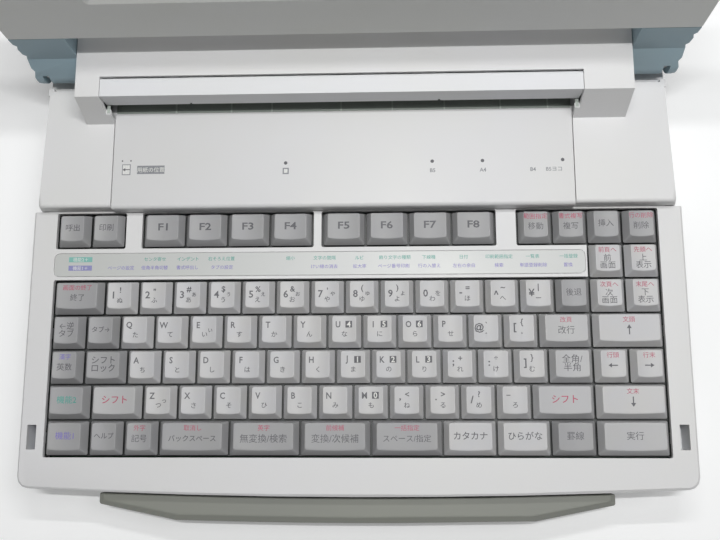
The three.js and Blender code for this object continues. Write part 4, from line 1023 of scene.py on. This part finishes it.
trimLook = {
    "vent": {
        "x": (58.0, 112.0), "z": (7.0, 22.0), "wall": 155.0, "pitch": 4.5, "rib": 1.3, "proud": 0.4,
        # the dark sheet is painted shade, standing in for the shadowed openings between the ribs
        "sheet": (-0.02, 0.06),     # faces of the dark sheet behind the ribs, from the wall
    },
    "ridges": {
        "face": -182.5, "y": 40.0, "z": 16.0, "pitch": 2.2, "count": 5, "half": 0.45, "high": 2.7,
        "proud": 0.45,
    },
    "lamp": {
        "face": 180.2, "y": -14.0, "z": 8.6, "half": 2.2, "high": 1.0, "rim": 0.5, "proud": 0.35,
    },
}


def rearVent():
    # a grille by the power supply: upright ribs between two rails, over a dark sheet of painted shade for the
    # openings
    look = trimLook["vent"]
    left, right = look["x"]
    half = look["rib"] / 2
    out = (look["wall"], look["wall"] + look["proud"])
    count = round((right - left) / look["pitch"]) + 1
    ribs = [[x - half, x + half, *out, *look["z"]] for x in left + look["pitch"] * np.arange(count)]
    rails = [[left - half, right + half, *out, level - half, level + half] for level in look["z"]]
    near, far = look["sheet"]
    gather = Gather()
    # the dark sheet behind the ribs: painted shade
    gather.add(*boxes([left, right, look["wall"] + near, look["wall"] + far, *look["z"]]))
    gather.add(*boxes(ribs + rails), 1)
    gather.make("rear_vent", "machine", [finishes["dark_plastic"], finishes["case_shell"]])


def switchRidges():
    # a row of ridges on the power switch, for the finger
    look = trimLook["ridges"]
    half = look["half"]
    middles = look["y"] + look["pitch"] * (np.arange(look["count"]) - (look["count"] - 1) / 2)
    out = (look["face"] - look["proud"], look["face"])
    upright = (look["z"] - look["high"], look["z"] + look["high"])
    gather = Gather()
    gather.add(*boxes([[*out, y - half, y + half, *upright] for y in middles]))
    gather.make("switch_ridges", "switch", [finishes["dark_plastic"]])


def driveLamp():
    # a lamp in a low rim on the floppy drive
    look = trimLook["lamp"]
    gather = Gather()
    for mark, (rim, proud) in enumerate([(look["rim"], look["proud"] / 2), (0.0, look["proud"])]):
        wide, high = look["half"] + rim, look["high"] + rim
        across = (look["y"] - wide, look["y"] + wide)
        upright = (look["z"] - high, look["z"] + high)
        gather.add(*boxes([look["face"], look["face"] + proud, *across, *upright]), mark)
    gather.make("drive_lamp", "machine", [finishes["dark_plastic"], finishes["lamp_green"]])


rearVent()
switchRidges()
driveLamp()
print("small parts made")

# Camera at the photograph's viewing angle

cameraLook = {
    "place": (21.98, -103.98, 502.25),
    "turn": (10.32, 2.293, -0.011),
    "lens": 42.5,
    "sensor": 36.0,
    "nearest": 10.0,
}
camera = bpy.data.objects.new("camera", bpy.data.cameras.new("camera"))
scene.collection.objects.link(camera)
camera.location = [value * metre for value in cameraLook["place"]]
camera.rotation_euler = [math.radians(value) for value in cameraLook["turn"]]
camera.data.lens = cameraLook["lens"]
camera.data.sensor_width = cameraLook["sensor"]
camera.data.clip_start = cameraLook["nearest"] * metre
scene.camera = camera

# Floor and light

studio = {
    "floorHalf": 3000.0,
    "floorDrop": 0.1,
    "floorColour": shade(236, 237, 237),
    "floorRoughness": 0.9,
    "floorGlow": (0.2, 0.85),   # to the camera and in reflections, near the object and far from it
    "glowReach": (0.35, 1.6),   # metres from the middle between which it changes
    "skyLevel": 1.0,            # to the camera and in reflections
    "worldLevel": 0.13,         # as light on the object
    "lamps": {
        # place, what it points at, width, depth and power in watts
        "overhead": ((60.0, 100.0, 1600.0), (60.0, 60.0, 50.0), 300.0, 20.0, 9.4),
        "right": ((700.0, 100.0, 1400.0), (0.0, 0.0, 50.0), 400.0, 400.0, 3.4),
        "low": ((60.0, 158.0, 640.0), (60.0, 60.0, 50.0), 240.0, 10.0, 0.95),
        "behind": ((0.0, 1300.0, 700.0), (0.0, 150.0, 120.0), 1200.0, 700.0, 2.5),
    },
}


def stageFloor():
    half = studio["floorHalf"] * metre
    mesh = bpy.data.meshes.new("floor")
    level = -studio["floorDrop"] * metre
    corners = [(-half, -half, level), (half, -half, level), (half, half, level), (-half, half, level)]
    mesh.from_pydata(corners, [], [(0, 1, 2, 3)])
    floor = bpy.data.objects.new("floor", mesh)
    scene.collection.objects.link(floor)
    look = {"Base_Color": studio["floorColour"], "Roughness": studio["floorRoughness"]}
    finish = Finish("floorPaper", Emission_Strength=1.0, **look)
    near, far = studio["floorGlow"]
    distance = finish.node("ShaderNodeVectorMath", {"operation": "LENGTH"}, {0: finish.place}, "Value")
    glow = near + finish.ramp(distance, *studio["glowReach"]) * (far - near)
    lit = finish.seen("Camera", "Glossy", "Transmission") * glow
    finish.feed("Emission Color", finish.blend(lit, (0, 0, 0, 1), (1, 1, 1, 1)))
    mesh.materials.append(finish.material)


def studioLight():
    sky = Finish("studio", bpy.data.worlds, "Background", Color=(1, 1, 1, 1))
    scene.world = sky.material
    level = studio["worldLevel"]
    sky.feed("Strength", level + sky.seen("Camera", "Glossy", "Transmission") * (studio["skyLevel"] - level))
    for name, (place, target, wide, deep, power) in studio["lamps"].items():
        lamp = bpy.data.lights.new(name, "AREA")
        lamp.shape = "RECTANGLE"
        lamp.size = wide * metre
        lamp.size_y = deep * metre
        lamp.energy = power
        holder = bpy.data.objects.new(name, lamp)
        scene.collection.objects.link(holder)
        holder.visible_camera = False
        holder.location = [value * metre for value in place]
        holder.rotation_euler = (Vector(target) - Vector(place)).to_track_quat("-Z", "Y").to_euler()


stageFloor()
studioLight()
scene.view_settings.view_transform = "Standard"
print("stage made")
